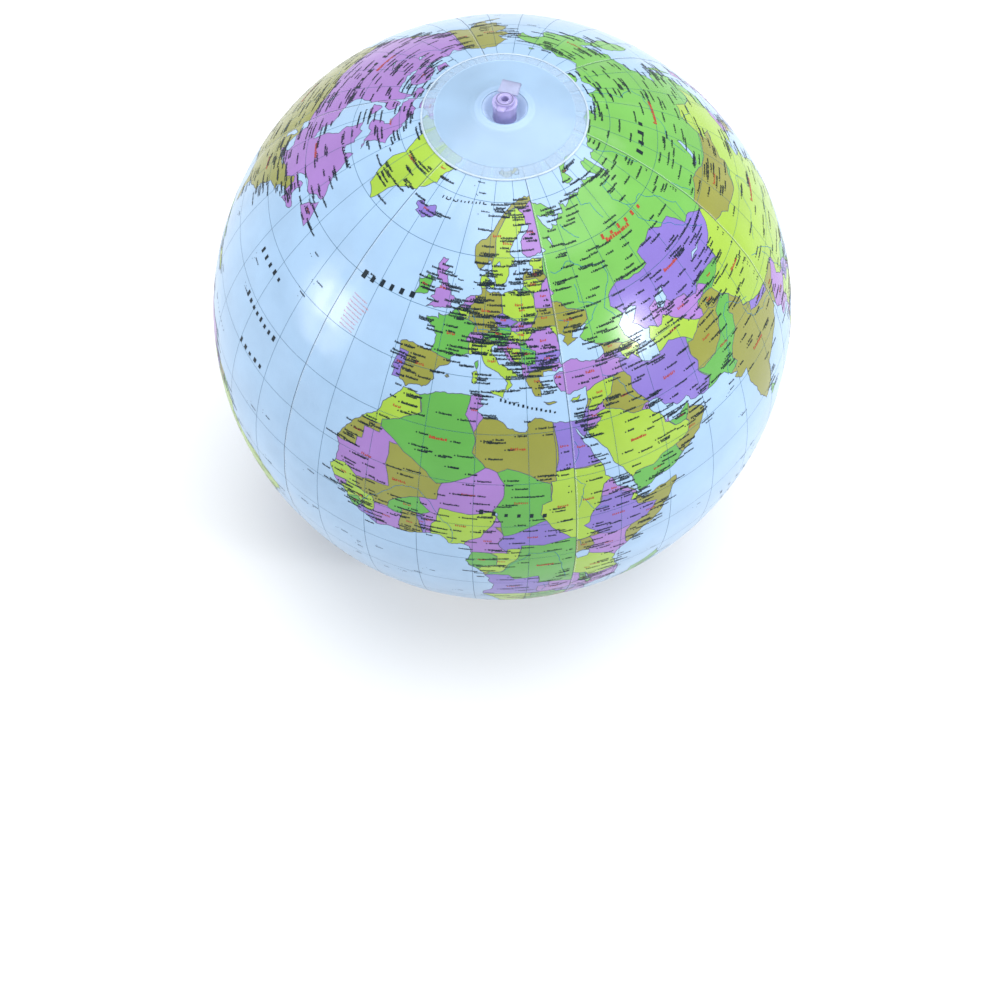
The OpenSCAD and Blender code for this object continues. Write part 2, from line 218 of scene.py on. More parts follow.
    "ellesmere": "-90 76.5 -80 76.2 -75.5 78.6 -62 82.5 -90 81.5 -92 79",
    "devon": "-92 75.3 -80 75.6 -80 74.6 -92 74.7",
    "somerset": "-102 73 -96.5 71.5 -90.5 73 -96 74",
    "melville": "-117 75.5 -106 74.8 -98 75 -98 76.3 -110 76.2",
    "southampton": "-87 63.7 -81 64 -84 65.9",
    "newfoundland": "-59.3 47.7 -53 46.8 -53 48.3 -55.6 51.5 -58 49.5",
    "cuba": "-84.9 21.9 -82.5 23.1 -77.5 21.8 -74.2 20.2 -77.5 19.9 -78.5 21.3",
    "hispaniola": "-74.4 18.4 -73 19.9 -69.9 19.7 -68.4 18.6 -71.5 17.8",
    "jamaica": "-78.3 18.4 -76.2 18.1 -77.2 17.8",
    "vancouver": "-128.3 50.7 -125 50 -123.4 48.4 -125.5 48.8",
    "hawaii": "-156 20.2 -155.6 20 -154.9 19.5 -155.7 19",
    "south_america": """-77.4 8.6 -75.5 10.6 -72.5 11.8 -71.5 12.3 -71.7 10.8 -70 12 -68 10.6 -64.5 10.2
        -62 10.7 -60.5 8.6 -57.5 6.3 -54 5.9 -51.5 4.2 -50 1.5 -50 0 -48 -0.7 -44.5 -2.6 -41 -2.9
        -37 -4.9 -35 -6.5 -34.9 -8.3 -37.2 -11.3 -39 -13.5 -39 -17.5 -41 -21.8 -43.5 -23 -46.5 -24.2
        -48.6 -26 -48.8 -28.5 -52 -32.5 -54.5 -34.8 -57.8 -34.4 -58.3 -34 -56.8 -36.5 -58 -38.2 -62 -39
        -62.3 -41 -65 -41 -63.8 -42.5 -65.5 -44.8 -67.5 -46.2 -65.8 -47.5 -69 -50.5 -68.4 -52.4
        -65.2 -54.7 -69.5 -55.4 -74 -52.5 -75.5 -48.5 -74.5 -45 -73 -42 -73.7 -39.5 -73.3 -37 -71.7 -33
        -71.4 -30 -70.4 -25 -70.2 -19 -72 -17 -76.2 -14 -77.2 -12 -79.5 -7.8 -81.2 -6 -80.3 -3.5
        -81 -2.2 -80 0.2 -78.8 1.5 -77.3 4 -77.5 6.7""",
    "falklands": "-61 -51.8 -58 -51.5 -59 -52.2",
    "antarctica": """-180 -84 -180 -78 -160 -77.3 -145 -75.5 -130 -74 -102 -73 -100 -72 -80 -73 -75 -71
        -68 -67 -61 -63.5 -58 -63.4 -61 -66 -61 -74 -75 -77 -60 -77.5 -35 -78 -25 -75 -12 -71.5 0 -70
        20 -70 39 -69.5 50 -67 57 -66.8 70 -68.5 75 -69.5 88 -66.5 110 -66 130 -66.3 145 -67 160 -69.5
        170 -71.5 165 -75 163 -78 180 -78 180 -84""",
}
# Ink of each piece of land where no country is laid over it: G green, L light green, Y yellow-green,
# O olive, P orchid, B blue-violet, A the ice. South Africa and Russia are what the other countries
# leave of their continents.
LAND_INK = dict(
    africa="O", madagascar="G", eurasia="L", britain="P", ireland="G", iceland="B", svalbard="O",
    novaya_zemlya="L", wrangel="L", new_siberia="L", kolguev="L", zealand="Y", gotland="Y", corsica="G",
    sardinia="Y", sicily="Y", crete="O", cyprus="Y", majorca="O", sakhalin="L", honshu="P", hokkaido="P",
    taiwan="O", hainan="Y", luzon="G", mindanao="G", visayas="G", borneo="Y", sumatra="Y", java="Y",
    sulawesi="Y", timor="Y", flores="Y", halmahera="Y", seram="Y", new_guinea="B", new_britain="B",
    sri_lanka="G", australia="O", tasmania="O", north_island="G", south_island="G", new_caledonia="P",
    north_america="P", greenland="Y", baffin="P", victoria="P", banks="P", ellesmere="P", devon="P",
    somerset="P", melville="P", southampton="P", newfoundland="P", cuba="G", hispaniola="Y", jamaica="O",
    vancouver="P", hawaii="O", south_america="Y", falklands="P", antarctica="A",
)
COUNTRIES = """
spain O -10 44.5 -1.9 44 -1.8 43.35 0.7 42.7 3.3 42.4 4 41 1 38 -2 35.9 -6 35.9 -10 36
portugal B -9.8 42 -8.2 42 -6.6 41.9 -6.9 41 -6.9 39.7 -7.4 38.5 -7.3 37.1 -7.4 36.5 -10 36.5
france G 2.5 51.3 4.2 49.9 6.2 49.4 8.1 49 7.6 47.6 6.1 46.3 7 45.9 6.9 44.4 7.6 43.6 5 42.5 3.3 42.4
 0.7 42.7 -1.8 43.35 -2.5 43.6 -6 48 -2 50.2 1.5 51
netherlands P 3.3 51.4 5.8 51.2 6.1 51.8 7.1 52.4 7.1 53.7 4.5 53.6 3 51.6
belgium Y 2.4 51.2 3.4 51.4 5.8 51.1 6.3 50.2 5.7 49.5 4.2 49.9
germany O 7.1 53.8 8.5 55 9.9 54.9 11 54.6 14.3 54.2 14.6 52.6 14.8 51 12.2 50.3 13.8 48.7 12.9 47.6
 9.7 47.6 7.6 47.6 8.1 49 6.2 49.4 6.1 50.3 6 51.8 7 52.3
denmark Y 8 54.9 10 54.9 13 54.6 12.8 56 11 58 8 57.8
switzerland P 6.1 46.2 7.1 47.5 9.6 47.6 10.4 46.8 9 45.9 7 45.9
austria G 9.6 47.5 12.9 47.7 13.8 48.7 16.9 48.6 17.1 48 16.1 46.9 13.7 46.5 10.4 46.8
italy Y 6.9 45.9 9 45.9 10.4 46.8 13.7 46.5 13.6 45.8 13.2 44.8 16.5 42.2 19 40 16 36.4 12 36.4 10 38.5
 9.8 43.2 7.5 43.5 7 44.2 6.9 45
czechia B 12.2 50.3 14.8 51 18.8 49.6 17 48.8 13.8 48.7
poland Y 14.3 54.2 18.5 55.2 19.6 54.4 22.8 54.4 23.9 52.5 23.6 51.5 24.1 50.6 22.6 49.2 18.9 49.5
 16.7 50.3 14.9 50.9 14.6 52.6
slovakia P 17 48.8 18.9 49.5 22.5 49.1 22.1 48.4 19 47.9 17.1 48
hungary Y 16.1 46.9 17.1 48 19 47.9 22.1 48.4 22.8 47.9 21.2 46.3 18.8 45.9 16.5 46.5
slovenia G 13.6 45.8 13.7 46.5 16.3 46.8 15.4 45.5
croatia P 13.6 45.5 15.4 45.5 16.5 46.5 19 45.9 19.1 45 15.8 45.2 17.5 43 18.5 42.3 16 42.6 13.2 44.5
bosnia Y 15.8 45.2 19 45 19.3 43.6 18.5 42.5 17.5 43.1
serbia G 18.9 45.9 21.2 46.3 22.6 44.5 22.9 43 22.4 42.3 20.6 41.9 19.4 42.9 19.2 44.9
albania P 19.2 42.7 20.5 42.2 20.9 40.7 20.1 39.5 18.9 40.5
macedonia B 20.5 42 22.4 42.3 22.9 41.4 20.9 40.9
greece O 20 39.6 20.9 40.8 22.9 41.4 26.4 41.6 26.5 40.6 26 39.5 28.6 36 26 34.5 21 36 19.2 39
ukraine O 22.1 48.4 22.6 49.1 24.1 50.6 23.6 51.5 30.5 51.4 31.8 52.1 34.1 51.7 35.5 50.4 38 49.9
 40.1 49.4 39.8 47.9 38.3 47.2 37.5 46.5 36.5 45.2 33.5 44 30.5 46 29.6 45.2 28.2 45.5 30 46.5 29.2 47.9
 26.6 48.2 24.9 47.8
romania P 20.3 46.1 22.8 47.9 26.6 48.2 28.2 46.6 28.2 45.4 29.9 45.2 29 43.8 27 44.1 22.8 43.8
 22.6 44.5 21.4 44.9
bulgaria B 22.6 44.2 22.9 43.8 27 44.1 29 43.7 28.3 41.9 26.4 41.7 22.9 41.4 22.4 42.3
moldova Y 26.6 48.2 29.2 47.9 30 46.4 28.2 45.5 28.1 46.6
belarus P 23.6 51.5 23.6 53.9 26.6 55.4 28.2 56.2 30.9 55.6 32.7 53.4 31.5 53.1 31.8 52.1 30.5 51.4
lithuania Y 20.9 55.4 21 56.1 24.9 56.4 26.6 55.6 25.7 54.2 23.5 53.9 22.8 54.4
latvia O 20.5 56.1 21.5 57.8 24.4 57.9 27.4 57.5 28.2 56.2 26.6 55.6 24.9 56.4 21 56.1
estonia Y 21.5 58 24.4 57.9 27.4 57.5 27.9 59.5 23.3 59.8 21.5 59
norway O 4 57 10 58.3 11.4 59 12.3 61 12.1 63.5 14.5 66.1 16.4 68.1 20.2 69 22.5 68.6 25.7 69.2
 27.9 70.1 29.3 69.3 31.2 69.7 32 72 15 72 3 62
sweden Y 11.2 59 12.3 61 12.1 63.5 14.5 66.1 16.4 68.1 20.4 69 23.6 67.9 24.1 65.8 22 64 19.5 60.5
 19.5 57 14.5 54.8 12.4 55.5 10.8 58
finland P 20.6 69.1 23.6 67.9 24.1 65.8 21 64 19.8 60.2 22 59.2 27.8 60.4 31.5 62.8 29.5 64.8 29.9 67.5
 28.5 68.5 28.9 69.1 27.9 70.1 25.7 69.3 22.5 68.7
kazakhstan B 46.6 48.5 47.2 50.2 50.8 51.7 54.5 51 58.6 51 61.5 51.4 61 53.9 65 54.4 69 55.4 73 54
 77 54.3 80.1 50.8 83.5 51 87.3 49.1 85.5 47.1 82.4 45.4 80.2 44.8 80.2 42.2 75.5 42.8 71 42.7 69 41.3
 66.5 41.9 66.1 43 62 43.5 58.6 45.6 55.9 45 55.9 41.3 54 42.3 52.5 41.7 50 44.5 51 46.8 49.2 46.3
uzbekistan P 55.9 41.3 55.9 45 58.6 45.6 62 43.5 66.1 42.9 66.5 41.9 69 41.3 71 42.2 73 40.8 70.5 40.2
 68.5 40.1 67.5 39.2 68.2 38.4 67.8 37.2 66.5 37.4 62.4 40 60.1 41.4 58.4 42.6 57 41.3
turkmenistan Y 52.5 41.7 54 42.3 55.9 41.3 57 41.3 58.4 42.6 60.1 41.4 62.4 40 66.5 37.4 64.5 36.2
 62.5 35.3 61.2 36.6 59.2 37.5 57 38.2 53.9 37.3 52 39
kyrgyzstan G 70.9 42.3 75.5 42.8 80.2 42.1 76.5 40.4 73.7 39.5 69.5 39.6 73 40.8
tajikistan O 67.8 37.2 68.2 38.4 67.5 39.3 70.5 40.2 73.7 39.5 75 37.4 71.5 36.7 70 37.5
afghanistan O 60.9 34.5 61.2 35.6 62.5 35.3 64.5 36.2 66.5 37.4 70 37.5 71.5 36.7 74.9 37.3 71.2 35.8
 71 34.5 69.4 31.8 66.4 29.9 62.5 29.4 60.9 29.8 61.7 31.3 60.6 33
iran B 44.8 39.7 48 39.5 48.9 38.4 50 37.2 53.9 36.8 53.9 37.3 57 38.2 59.2 37.5 61.2 36.6 60.6 33.5
 61.7 31.3 60.9 29.8 63 27.2 61.6 25 57 25 54 26 50.5 28 48.5 29.8 47.7 31 45.6 33.8 46 35.8 44.8 37.2
 44.4 38.4
pakistan G 61.6 24.5 61.7 25.1 63.2 27.2 60.9 29.8 62.5 29.4 66.4 29.9 69.4 31.8 71 34.5 71.2 35.9
 74.5 37.1 76.8 35.8 74.2 33.3 75 32.3 73.9 30 71 27.8 70 26 71 24.5 68 23.4
india O 68 23.4 71 24.5 70 26 71 27.8 73.9 30 75 32.3 74.2 33.3 76.8 35.8 79 33 78.8 31.2 81 30.2
 80.2 28.8 84 27.5 88 26.5 88.2 27.9 89 27.2 92 26.9 92 27.8 97 28.3 97.2 27.2 95 26 93.3 24 92.6 22
 91.5 23 92.3 25 89.8 25.3 88.3 25.8 88.8 24 88.8 21.3 80 12 80 8.6 77.5 7.5 70 18 68 22
nepal B 80.2 28.8 81 30.2 84.5 28.7 88.1 27.9 88 26.4 84 27.5
bhutan Y 88.9 27.3 90.5 28.1 92 27.7 91.8 26.9 89 26.8
bangladesh G 88.8 21.5 88.8 24 88.3 25.9 89.8 25.3 92.3 25 91.5 23.2 92.5 21 91 21.5
burma P 92.3 20.7 92.6 22 93.3 24 95 26 97.2 27.2 97.7 28.4 98.7 27.5 98.7 25.8 97.7 24 99.2 22.2
 101.2 21.5 100.2 20.4 97.5 18.5 98.9 16.4 98.2 15.1 99.6 11.8 98.6 9.9 97 10 97 15 94 15 93.5 19
thailand Y 100.2 20.4 101.2 19.5 101 17.6 104.7 17.5 105.6 15 104.8 14.3 102.5 13.6 102.9 11.6 100 11
 102.1 6.2 101 5.6 100 6.5 98 7.5 98.6 9.9 99.6 11.8 98.2 15.1 98.9 16.4 97.5 18.5
laos B 100.2 20.4 102.1 22.4 104.5 20.5 105.2 18.7 107.5 15.5 107.4 14.4 105.6 14.3 105.6 15 104.7 17.5
 101 17.6 101.2 19.6
cambodia O 102.5 13.6 104.8 14.4 107.5 14.6 107.5 12.4 105.9 11.6 104.5 10.3 102.9 11
vietnam G 102.1 22.4 105.4 23.3 108 21.5 107 19 110 14 109 10.5 104.5 8 104.4 10.4 105.9 11.6 107.5 12.4
 107.5 15.5 105.2 18.7 104.5 20.5
malaya P 100 6.5 101.1 5.7 102.1 6.3 105 4 104.5 1.2 102 1.5 99.5 4
sarawak P 109.5 2 110.5 0.9 114.5 1.5 115.7 4.2 118 4.2 119.8 5.3 117 8 113 4
west_new_guinea Y 130 0 141 -2 141 -9.5 137 -9 130 -4
china Y 73.7 39.5 76.5 40.4 80.2 42.1 80.2 44.8 82.4 45.4 85.5 47.1 87.4 49.1 91 46.8 91 45.2 95.4 44.2
 97 42.7 105 41.6 110 42.6 112 43.7 111.8 45 116 46.5 119.8 46.7 118 47.9 115.7 47.8 116.7 49.8 120 52.8
 121 53.3 126 53 127.5 50 130.9 47.8 135 48.4 133.2 45 131 44.9 130.7 42.4 128 42 124.3 40 123 38 125 32
 120 22 110 17.8 108 21.5 105.4 23.3 102.1 22.4 101.2 21.5 99.2 22.2 97.7 24 98.7 25.8 98.7 27.5
 97.3 28.3 92 27.8 88.8 27.9 84.5 28.7 81 30.2 78.8 31.3 79 33 76.8 35.8 74.9 37.3
mongolia O 87.8 49.2 92 50.7 98.5 52.1 102 51.3 107 49.8 113 49.6 116.7 49.8 115.7 47.8 118 47.9
 119.8 46.7 116 46.4 111.8 45 112 43.7 105 41.6 97 42.7 95.4 44.2 91 45.2 91 46.8
north_korea P 124.3 40 128 42 130.7 42.4 130.5 41 128.4 38.5 126.6 37.8 124.5 37.9
south_korea O 126.6 37.8 128.4 38.5 130 37 129 34 125.5 34 125.5 37.6
turkey P 26.2 42 28 42 29 42.5 36 42.6 41.5 41.5 43.5 41.1 43.7 40.1 44.7 39.7 44.4 38.4 44.8 37.2
 42.4 37.2 38 36.8 36.7 36.2 36 35.9 33 35.7 28 36.2 25.6 38.5 25.7 40 26 40.8
georgia O 40 43.5 43.5 42.8 46.5 41.9 46.5 41.1 43.5 41.1 41.5 41.5 41 42.5
azerbaijan Y 45 41.3 46.5 41.9 48.6 41.8 50.6 40.3 49 38.4 47.8 39.6 46.5 38.9 45.5 40
armenia B 43.5 41.1 45 41.3 45.5 40 46.5 38.9 44.7 39.7 43.7 40.1
syria Y 35.7 35.9 36.7 36.2 38 36.8 42.4 37.2 41 34.4 38.8 33.4 36.8 32.3 35.7 32.7 36 34
lebanon O 35.1 33.1 36 34.7 36.6 34.2 35.8 33.3
israel B 34.2 31.3 34.9 29.5 35.5 31.5 35.6 33.2 34.8 33.1
jordan P 34.95 29.5 35.5 31.5 35.7 32.7 36.8 32.3 39 33.4 39.2 32 37 31.5 38 30.5 36 29.2
iraq O 38.8 33.4 41 34.4 42.4 37.2 44.8 37.2 46 35.8 45.6 33.8 47.7 31 48.6 29.9 47.9 30 46.5 29.1
 44.7 29.2 42 31.1 39.2 32
saudi Y 34.6 28 35 29.3 36 29.2 38 30.5 37 31.5 39.2 32 42 31.1 44.7 29.2 46.5 29.1 48.5 28.5 50.5 27
 51 24.5 51.6 24.2 52.6 22.9 55.1 22.7 55.7 22 55 20 52 19 49 18.6 46.8 17.2 43.3 17.4 42.7 16.5 41 17
 38 22 34.5 27.5
yemen G 42.5 16.4 43.3 17.4 46.8 17.2 49 18.6 52 19 53.1 16.6 52 15 45 12 42.5 12.8
oman O 53.1 16.5 52 19 55 20 55.7 22 55.2 22.7 56 24 56.4 26.4 60.5 23 59 18
emirates G 51.6 24.1 52.6 22.9 55.2 22.7 56 24 56.4 25.5 56 26 53 25
kuwait P 46.5 29.1 47.7 30.1 48.6 29.9 48.5 28.5
qatar P 50.7 24.6 51.6 24.4 51.8 26.3 50.7 26.2
morocco Y -6 36.2 -2 35.3 -1.2 32.2 -3.6 31 -5.5 29.8 -8.7 28.7 -8.7 27.6 -13.2 27.6 -14 28.5 -11 31
 -8 34
western_sahara O -13.5 27.7 -8.7 27.7 -8.7 26 -12 26 -12 23.4 -13 23 -13 21.4 -17.1 21.3 -17.5 21 -16 25
mauritania P -17.5 21 -17.1 21.3 -13 21.4 -13 23.2 -12 23.4 -12 26 -8.7 26 -8.7 27.3 -4.8 25 -6.5 25
 -5.5 15.5 -9.5 15.4 -12 14.8 -16.5 16.2 -17.5 16
algeria G -2.2 35.3 -1.2 32.3 -3.6 31 -5.5 29.8 -8.7 28.7 -8.7 27.3 -4.8 25 1.2 21.1 3.2 19 4.2 19.3
 6 19.8 12 23.5 9.5 26.4 9.9 28.5 9.5 30.2 7.8 33.3 8.3 35.5 8.6 37.5 3 38 -2.2 36
tunisia P 8.6 37.6 8.3 35.5 7.6 33.4 9.5 30.2 10.3 31.8 11.5 33.2 12 34 11.5 38
libya O 11.5 33.3 10.3 31.8 9.5 30.2 9.9 28.5 9.4 26.4 12 23.5 14.2 22.6 16 23.4 24 19.5 24 20 25 20
 25 22 25 31.7 24.9 33 15 34
egypt B 25 32 25 22 36.5 22 36.9 22 35 26 34.3 27.6 34.9 29.5 34.2 31.4 32 32
sudan Y 25 22 37.2 22 38.6 18 36.4 15 36.1 12.7 34.5 10.8 34 8.5 33 7.8 35.3 5.3 34 4.3 31 3.7 28 4.4
 26.5 6 24.2 8.7 23 10.8 22 12.7 22 15 24 15.7 24 20 25 20
chad G 14.2 22.6 16 23.4 24 19.5 24 15.7 22.3 15 22 12.7 23 11 19 9 15.5 7.5 15 10 14.2 12.7 13.5 14.5
 15.3 17 15.6 20
niger P 0.2 15 3.5 15.4 4.2 19.2 6 19.8 12 23.5 14.2 22.6 15.6 20 15.3 17 13.5 14.2 13.6 13.7 9.5 12.8
 6.8 13.1 4.1 13.5 3.6 11.7 2.4 12 0.5 13
mali O -12 14.8 -9.5 15.4 -5.5 15.5 -6.5 25 -4.8 25 1.2 21.1 3.2 19 4.2 19.2 3.5 15.4 0.2 15 -3 13.7
 -5.3 11.8 -5.5 10.4 -8 10.3 -8.5 11.5 -11.4 12.2 -12.2 13.8
senegal Y -17.8 16 -16.5 16.2 -14.5 16.5 -12 14.8 -11.4 12.3 -16.8 12.3 -18 13
guinea_bissau P -16.9 12.3 -13.7 12.6 -13.8 11.7 -15.2 10.8 -17 11.5
guinea Y -15 10.8 -13.8 11.7 -13.7 12.6 -11.4 12.2 -8.5 11.5 -8 10.2 -8 8.4 -8.5 7.6 -9.4 7.5 -10.6 8.5
 -11.2 10 -12.7 9.3 -13.5 9
sierra_leone G -13.5 9 -12.7 9.3 -11.2 10 -10.4 8.4 -11.5 6.8 -13.5 7.5
liberia B -11.6 6.8 -10.4 8.4 -9.4 7.5 -8.5 7.6 -7.5 5.8 -7.5 4.2 -10 5.5
ivory_coast P -7.5 4.2 -7.5 5.8 -8.5 7.6 -8 8.4 -8 10.2 -5.5 10.4 -4.5 9.8 -2.7 9.6 -3.2 6.5 -2.9 4.8
burkina G -5.5 10.4 -5.3 11.8 -3 13.7 0.2 15 0.9 13.5 2.4 12 0.9 11 -2.8 11 -2.7 9.6 -4.5 9.8
ghana O -2.9 4.8 -3.2 6.5 -2.7 9.6 -2.8 11 0 11.1 0.5 8.5 1.2 6 0 5 -2 4.5
togo B 0 11.1 0.9 11 1.6 9 1.7 6 1.2 5.8 0.5 8.5
benin P 0.9 11 2.4 12 3.7 11.7 3.5 10 2.7 9 2.7 6 1.7 6 1.6 9
nigeria Y 2.7 6 2.7 9 3.5 10 3.7 11.7 4.1 13.5 6.8 13.1 9.5 12.8 13.6 13.7 14.2 12.5 13.2 10 11.5 7
 8.8 5.2 8.5 4 6 3.8 4 5.8
cameroon P 8.5 4 8.8 5.3 11.5 7 13.2 10 14.2 12.7 15 11 15 10 14 10 15.5 7.5 14.5 5.5 16.2 2.2 13.2 2.3
 9.8 2.3 9 3
central_africa B 14.5 5.3 15.5 7.5 19 9 23 11 24.2 8.7 27.4 5.1 22.5 4.1 18.6 4.3 18.6 3.5 16.2 3.5
 16.2 2.2
gabon G 9.3 1.1 9.8 2.3 13.2 2.2 14.4 1 14.3 -2 11.8 -2.5 11 -4 8.5 -1
congo Y 13.2 2.2 16.2 2.2 16.2 3.5 18.6 3.5 17.8 0 16.2 -2 15 -4.9 13 -4.6 12 -5 11 -4 11.8 -2.5 14.3 -2
 14.4 1.2
congo_kinshasa G 16.2 -2 17.8 0 18.6 3.5 18.6 4.5 22.5 4.1 27.4 5.1 30.8 3.5 31.2 2.2 29.8 0.5 29.2 -2.5
 29.2 -4.4 30.6 -8.2 28.4 -8.6 28.5 -12 29.8 -13.4 27 -11.8 24 -11 22 -11.1 21.9 -7.3 17.5 -8 16.5 -6
 12.3 -6 13 -4.6 15 -4.9
uganda O 29.6 -1.4 29.8 0.5 31.2 2.2 30.8 3.5 34 4.2 35 1.7 33.9 0 33.9 -1
rwanda P 29 -1.4 30.8 -1.2 30.8 -3.3 29.4 -4.5 29 -2.8
kenya P 34 4.2 36 4.4 39 3.5 41.9 4 41 2.8 41 -0.9 41.6 -1.8 39.2 -4.7 37.6 -3 33.9 -1 33.9 0 35 1.7
ethiopia B 36.4 14.3 37.5 14.2 40 14.4 42.4 12.5 41.8 11 42.8 10.5 43.2 9.3 44 9 47 8 45 5 41.9 4 39 3.5
 36 4.4 35.3 5.3 33 7.8 34 8.5 34.5 10.8 36.1 12.7
eritrea P 36.4 14.3 36.9 17 38.6 18.1 40 16 43.3 12.6 42.4 12.5 40 14.4 37.5 14.2
djibouti Y 42.4 12.5 43.3 12.6 43.4 11.4 42.8 10.9 41.8 11
somalia O 42.8 10.6 43.3 11.5 52 12.5 51 7 42 -2 41.5 -1.8 41 -0.9 41 2.8 41.9 4 45 5 47 8 44 9 43.2 9.3
tanzania Y 30.8 -1.1 33.9 -1 37.6 -3 39.2 -4.7 40 -6 40.7 -10.5 37.5 -11.6 34.6 -11.5 32.9 -9.4
 30.8 -8.3 29.4 -6 29.4 -4.5 30.8 -3.3
angola B 11.5 -6 16.5 -6 17.5 -8 21.9 -7.3 22 -11 24 -11 24 -13 22 -13 22 -16.2 23.3 -17.6 18.5 -17.4
 14 -17.4 11.3 -17.3
zambia P 24 -11 27 -11.8 29.8 -13.4 28.5 -12 28.4 -8.6 30.7 -8.3 32.9 -9.4 33.2 -12.5 33 -14 30.3 -15.6
 28.9 -16 27 -17.9 25.3 -17.8 23.3 -17.6 22 -16.2 22 -13 24 -13
malawi G 32.9 -9.4 34 -9.5 34.6 -11.5 34.5 -12.2 35.7 -14.6 35.3 -17 34.4 -14.5 33 -14 33.2 -12.5
mozambique P 34.6 -11.5 37.5 -11.6 41 -10.4 41.5 -16 36 -24 33 -26.8 32 -26.5 31.8 -22.5 32.9 -19.7
 33 -17 30.4 -16 30.3 -15.6 33.2 -14 34.4 -14.6 35.3 -17 35.8 -14.6 34.5 -12.3
zimbabwe B 25.3 -17.8 27 -17.9 28.9 -16 30.4 -16 33 -17 32.8 -19.8 31.3 -22.4 29.3 -22.2 27.5 -20.5
 26 -19.3
botswana G 20 -22 21 -22 21 -18.3 23.5 -18.2 25.3 -17.8 26 -19.3 29.3 -22.2 27 -23.6 25.5 -25.7
 22.7 -25.5 20.7 -26.9 20 -24.8
namibia Y 11.3 -17.3 14 -17.4 18.5 -17.4 23.3 -17.6 25.3 -17.8 23.5 -18.3 21 -18.3 21 -22 20 -22
 20 -28.4 17.4 -28.7 16 -29 14 -25
lesotho Y 27 -29.7 28.6 -28.6 29.4 -29.5 28 -30.6
usa O -125 48.5 -123 49 -95 49 -94.6 48.7 -89.5 48 -88 48.3 -84.5 46.5 -82.5 45.3 -82.4 43 -83 42
 -79 42.8 -79 43.4 -76.3 44.2 -74.7 45 -71.4 45 -70.3 46.3 -69.2 47.4 -67.8 47.1 -67 44.5 -65 42 -75 30
 -80 24 -84 24 -97 25.9 -99.5 27.5 -101.5 29.8 -104.5 29.6 -106.5 31.8 -108.2 31.5 -111 31.3 -114.8 32.5
 -117.2 32.5 -122 32 -127 42
alaska O -141 71 -141 60.3 -137.5 58.9 -134.5 58.3 -130 55.9 -130 54.5 -140 55 -170 50 -172 66 -157 73
mexico B -117.3 32.5 -114.8 32.5 -111 31.3 -108.2 31.4 -106.5 31.8 -104.5 29.6 -101.5 29.8 -99.5 27.5
 -97 25.9 -96 22 -86 22 -87.5 18 -89.2 17.9 -91 17.8 -91.5 16 -92.2 14.5 -105 16 -119 28
guatemala Y -92.3 14.5 -91.5 16 -91 17.8 -89.2 17.9 -88.9 15.9 -88.2 15.7 -89.4 14.4 -90.2 13.5
belize P -89.2 17.9 -89 15.9 -88 16 -87.8 18.5
honduras G -89.4 14.4 -88.2 15.8 -88 16.5 -83 15.5 -83.1 15 -85.5 14 -87.5 13
nicaragua O -87.7 13 -85.5 14 -83 15 -83 11 -85.8 11
costa_rica Y -85.9 11 -83.5 11 -82.5 9.5 -83 8 -86 10
panama B -82.9 8 -82.5 9.6 -79 10 -77.3 8.7 -77.8 7 -82 7
colombia O -77.4 8.7 -75.5 11 -71 12.5 -72.5 11 -73 9 -72 7.2 -67.5 6.2 -67.3 2 -69.8 1.7 -69.9 -4.2
 -70.5 -3.8 -73 -2.3 -75.3 0 -79 1.5 -78.5 7
venezuela P -71.3 12.2 -72.5 11 -73 9 -72 7.2 -67.5 6.2 -67 1.2 -64 1.6 -64.5 4.1 -61 4.5 -60.7 7.5
 -59.5 8.3 -61 11.5 -70 13
guyana B -59.8 8.3 -60.7 7 -61 5 -60 5 -59.8 2 -58 1.5 -57.2 5.9 -58 7.5
suriname O -57.2 6.3 -58 4 -56.5 1.9 -54.2 2.2 -54 6.3
french_guiana G -54 6 -54.4 2.3 -52.6 2.3 -51 4.5 -52 6
ecuador B -80 1.5 -78.8 1.4 -75.3 -0.1 -75.5 -1.6 -78.3 -3.4 -79 -5 -80.3 -4.4 -80.4 -3.4 -82 -2
peru G -80.4 -3.4 -80.3 -4.4 -79 -5 -78.3 -3.4 -75.3 -0.1 -73 -2.3 -70 -4.2 -73 -5.5 -73.7 -7.5
 -72.5 -9.5 -70.5 -9.4 -70.6 -11 -69.5 -11 -68.7 -12.5 -69 -16.2 -69.5 -17.5 -70.4 -18.4 -72 -19
 -82.5 -6
bolivia P -69.5 -11 -65.4 -9.8 -65.3 -12 -60.5 -13.8 -60.2 -16.2 -58.2 -16.4 -57.6 -18.5 -58.2 -19.8
 -62 -19.6 -62.7 -22.2 -67.8 -22.8 -68.5 -20 -69.5 -17.5 -69 -16.2 -68.7 -12.5
paraguay O -58.2 -19.8 -57.9 -22 -55.8 -22.3 -54.3 -24 -54.6 -25.6 -56 -27.3 -58.6 -27.3 -57.7 -25.2
 -62.7 -22.2 -62 -19.6
uruguay P -57.6 -30.2 -53.4 -33.7 -52.5 -35.5 -58.5 -35 -58.2 -33
argentina B -67.8 -22.8 -62.7 -22.2 -57.7 -25.2 -58.6 -27.3 -56 -27.3 -54.6 -25.6 -53.7 -26.3
 -55.8 -28.3 -57.6 -30.2 -58.3 -33 -58.4 -34.5 -55 -36 -60 -56 -66 -56 -68.6 -54.8 -68.6 -52.5 -71.9 -52
 -73 -49.5 -71.7 -46 -71.8 -43 -71 -38 -70 -34 -70 -30 -68.5 -26.5 -67.3 -24
chile G -70.5 -18.3 -69.5 -17.5 -68.5 -20 -67.8 -22.8 -67.3 -24 -68.5 -26.5 -70 -30 -70 -34 -71 -38
 -71.8 -43 -71.7 -46 -73 -49.5 -71.9 -52 -68.6 -52.5 -68.6 -54.8 -66 -55.5 -70 -57 -78 -50 -75 -35
 -72 -19
"""
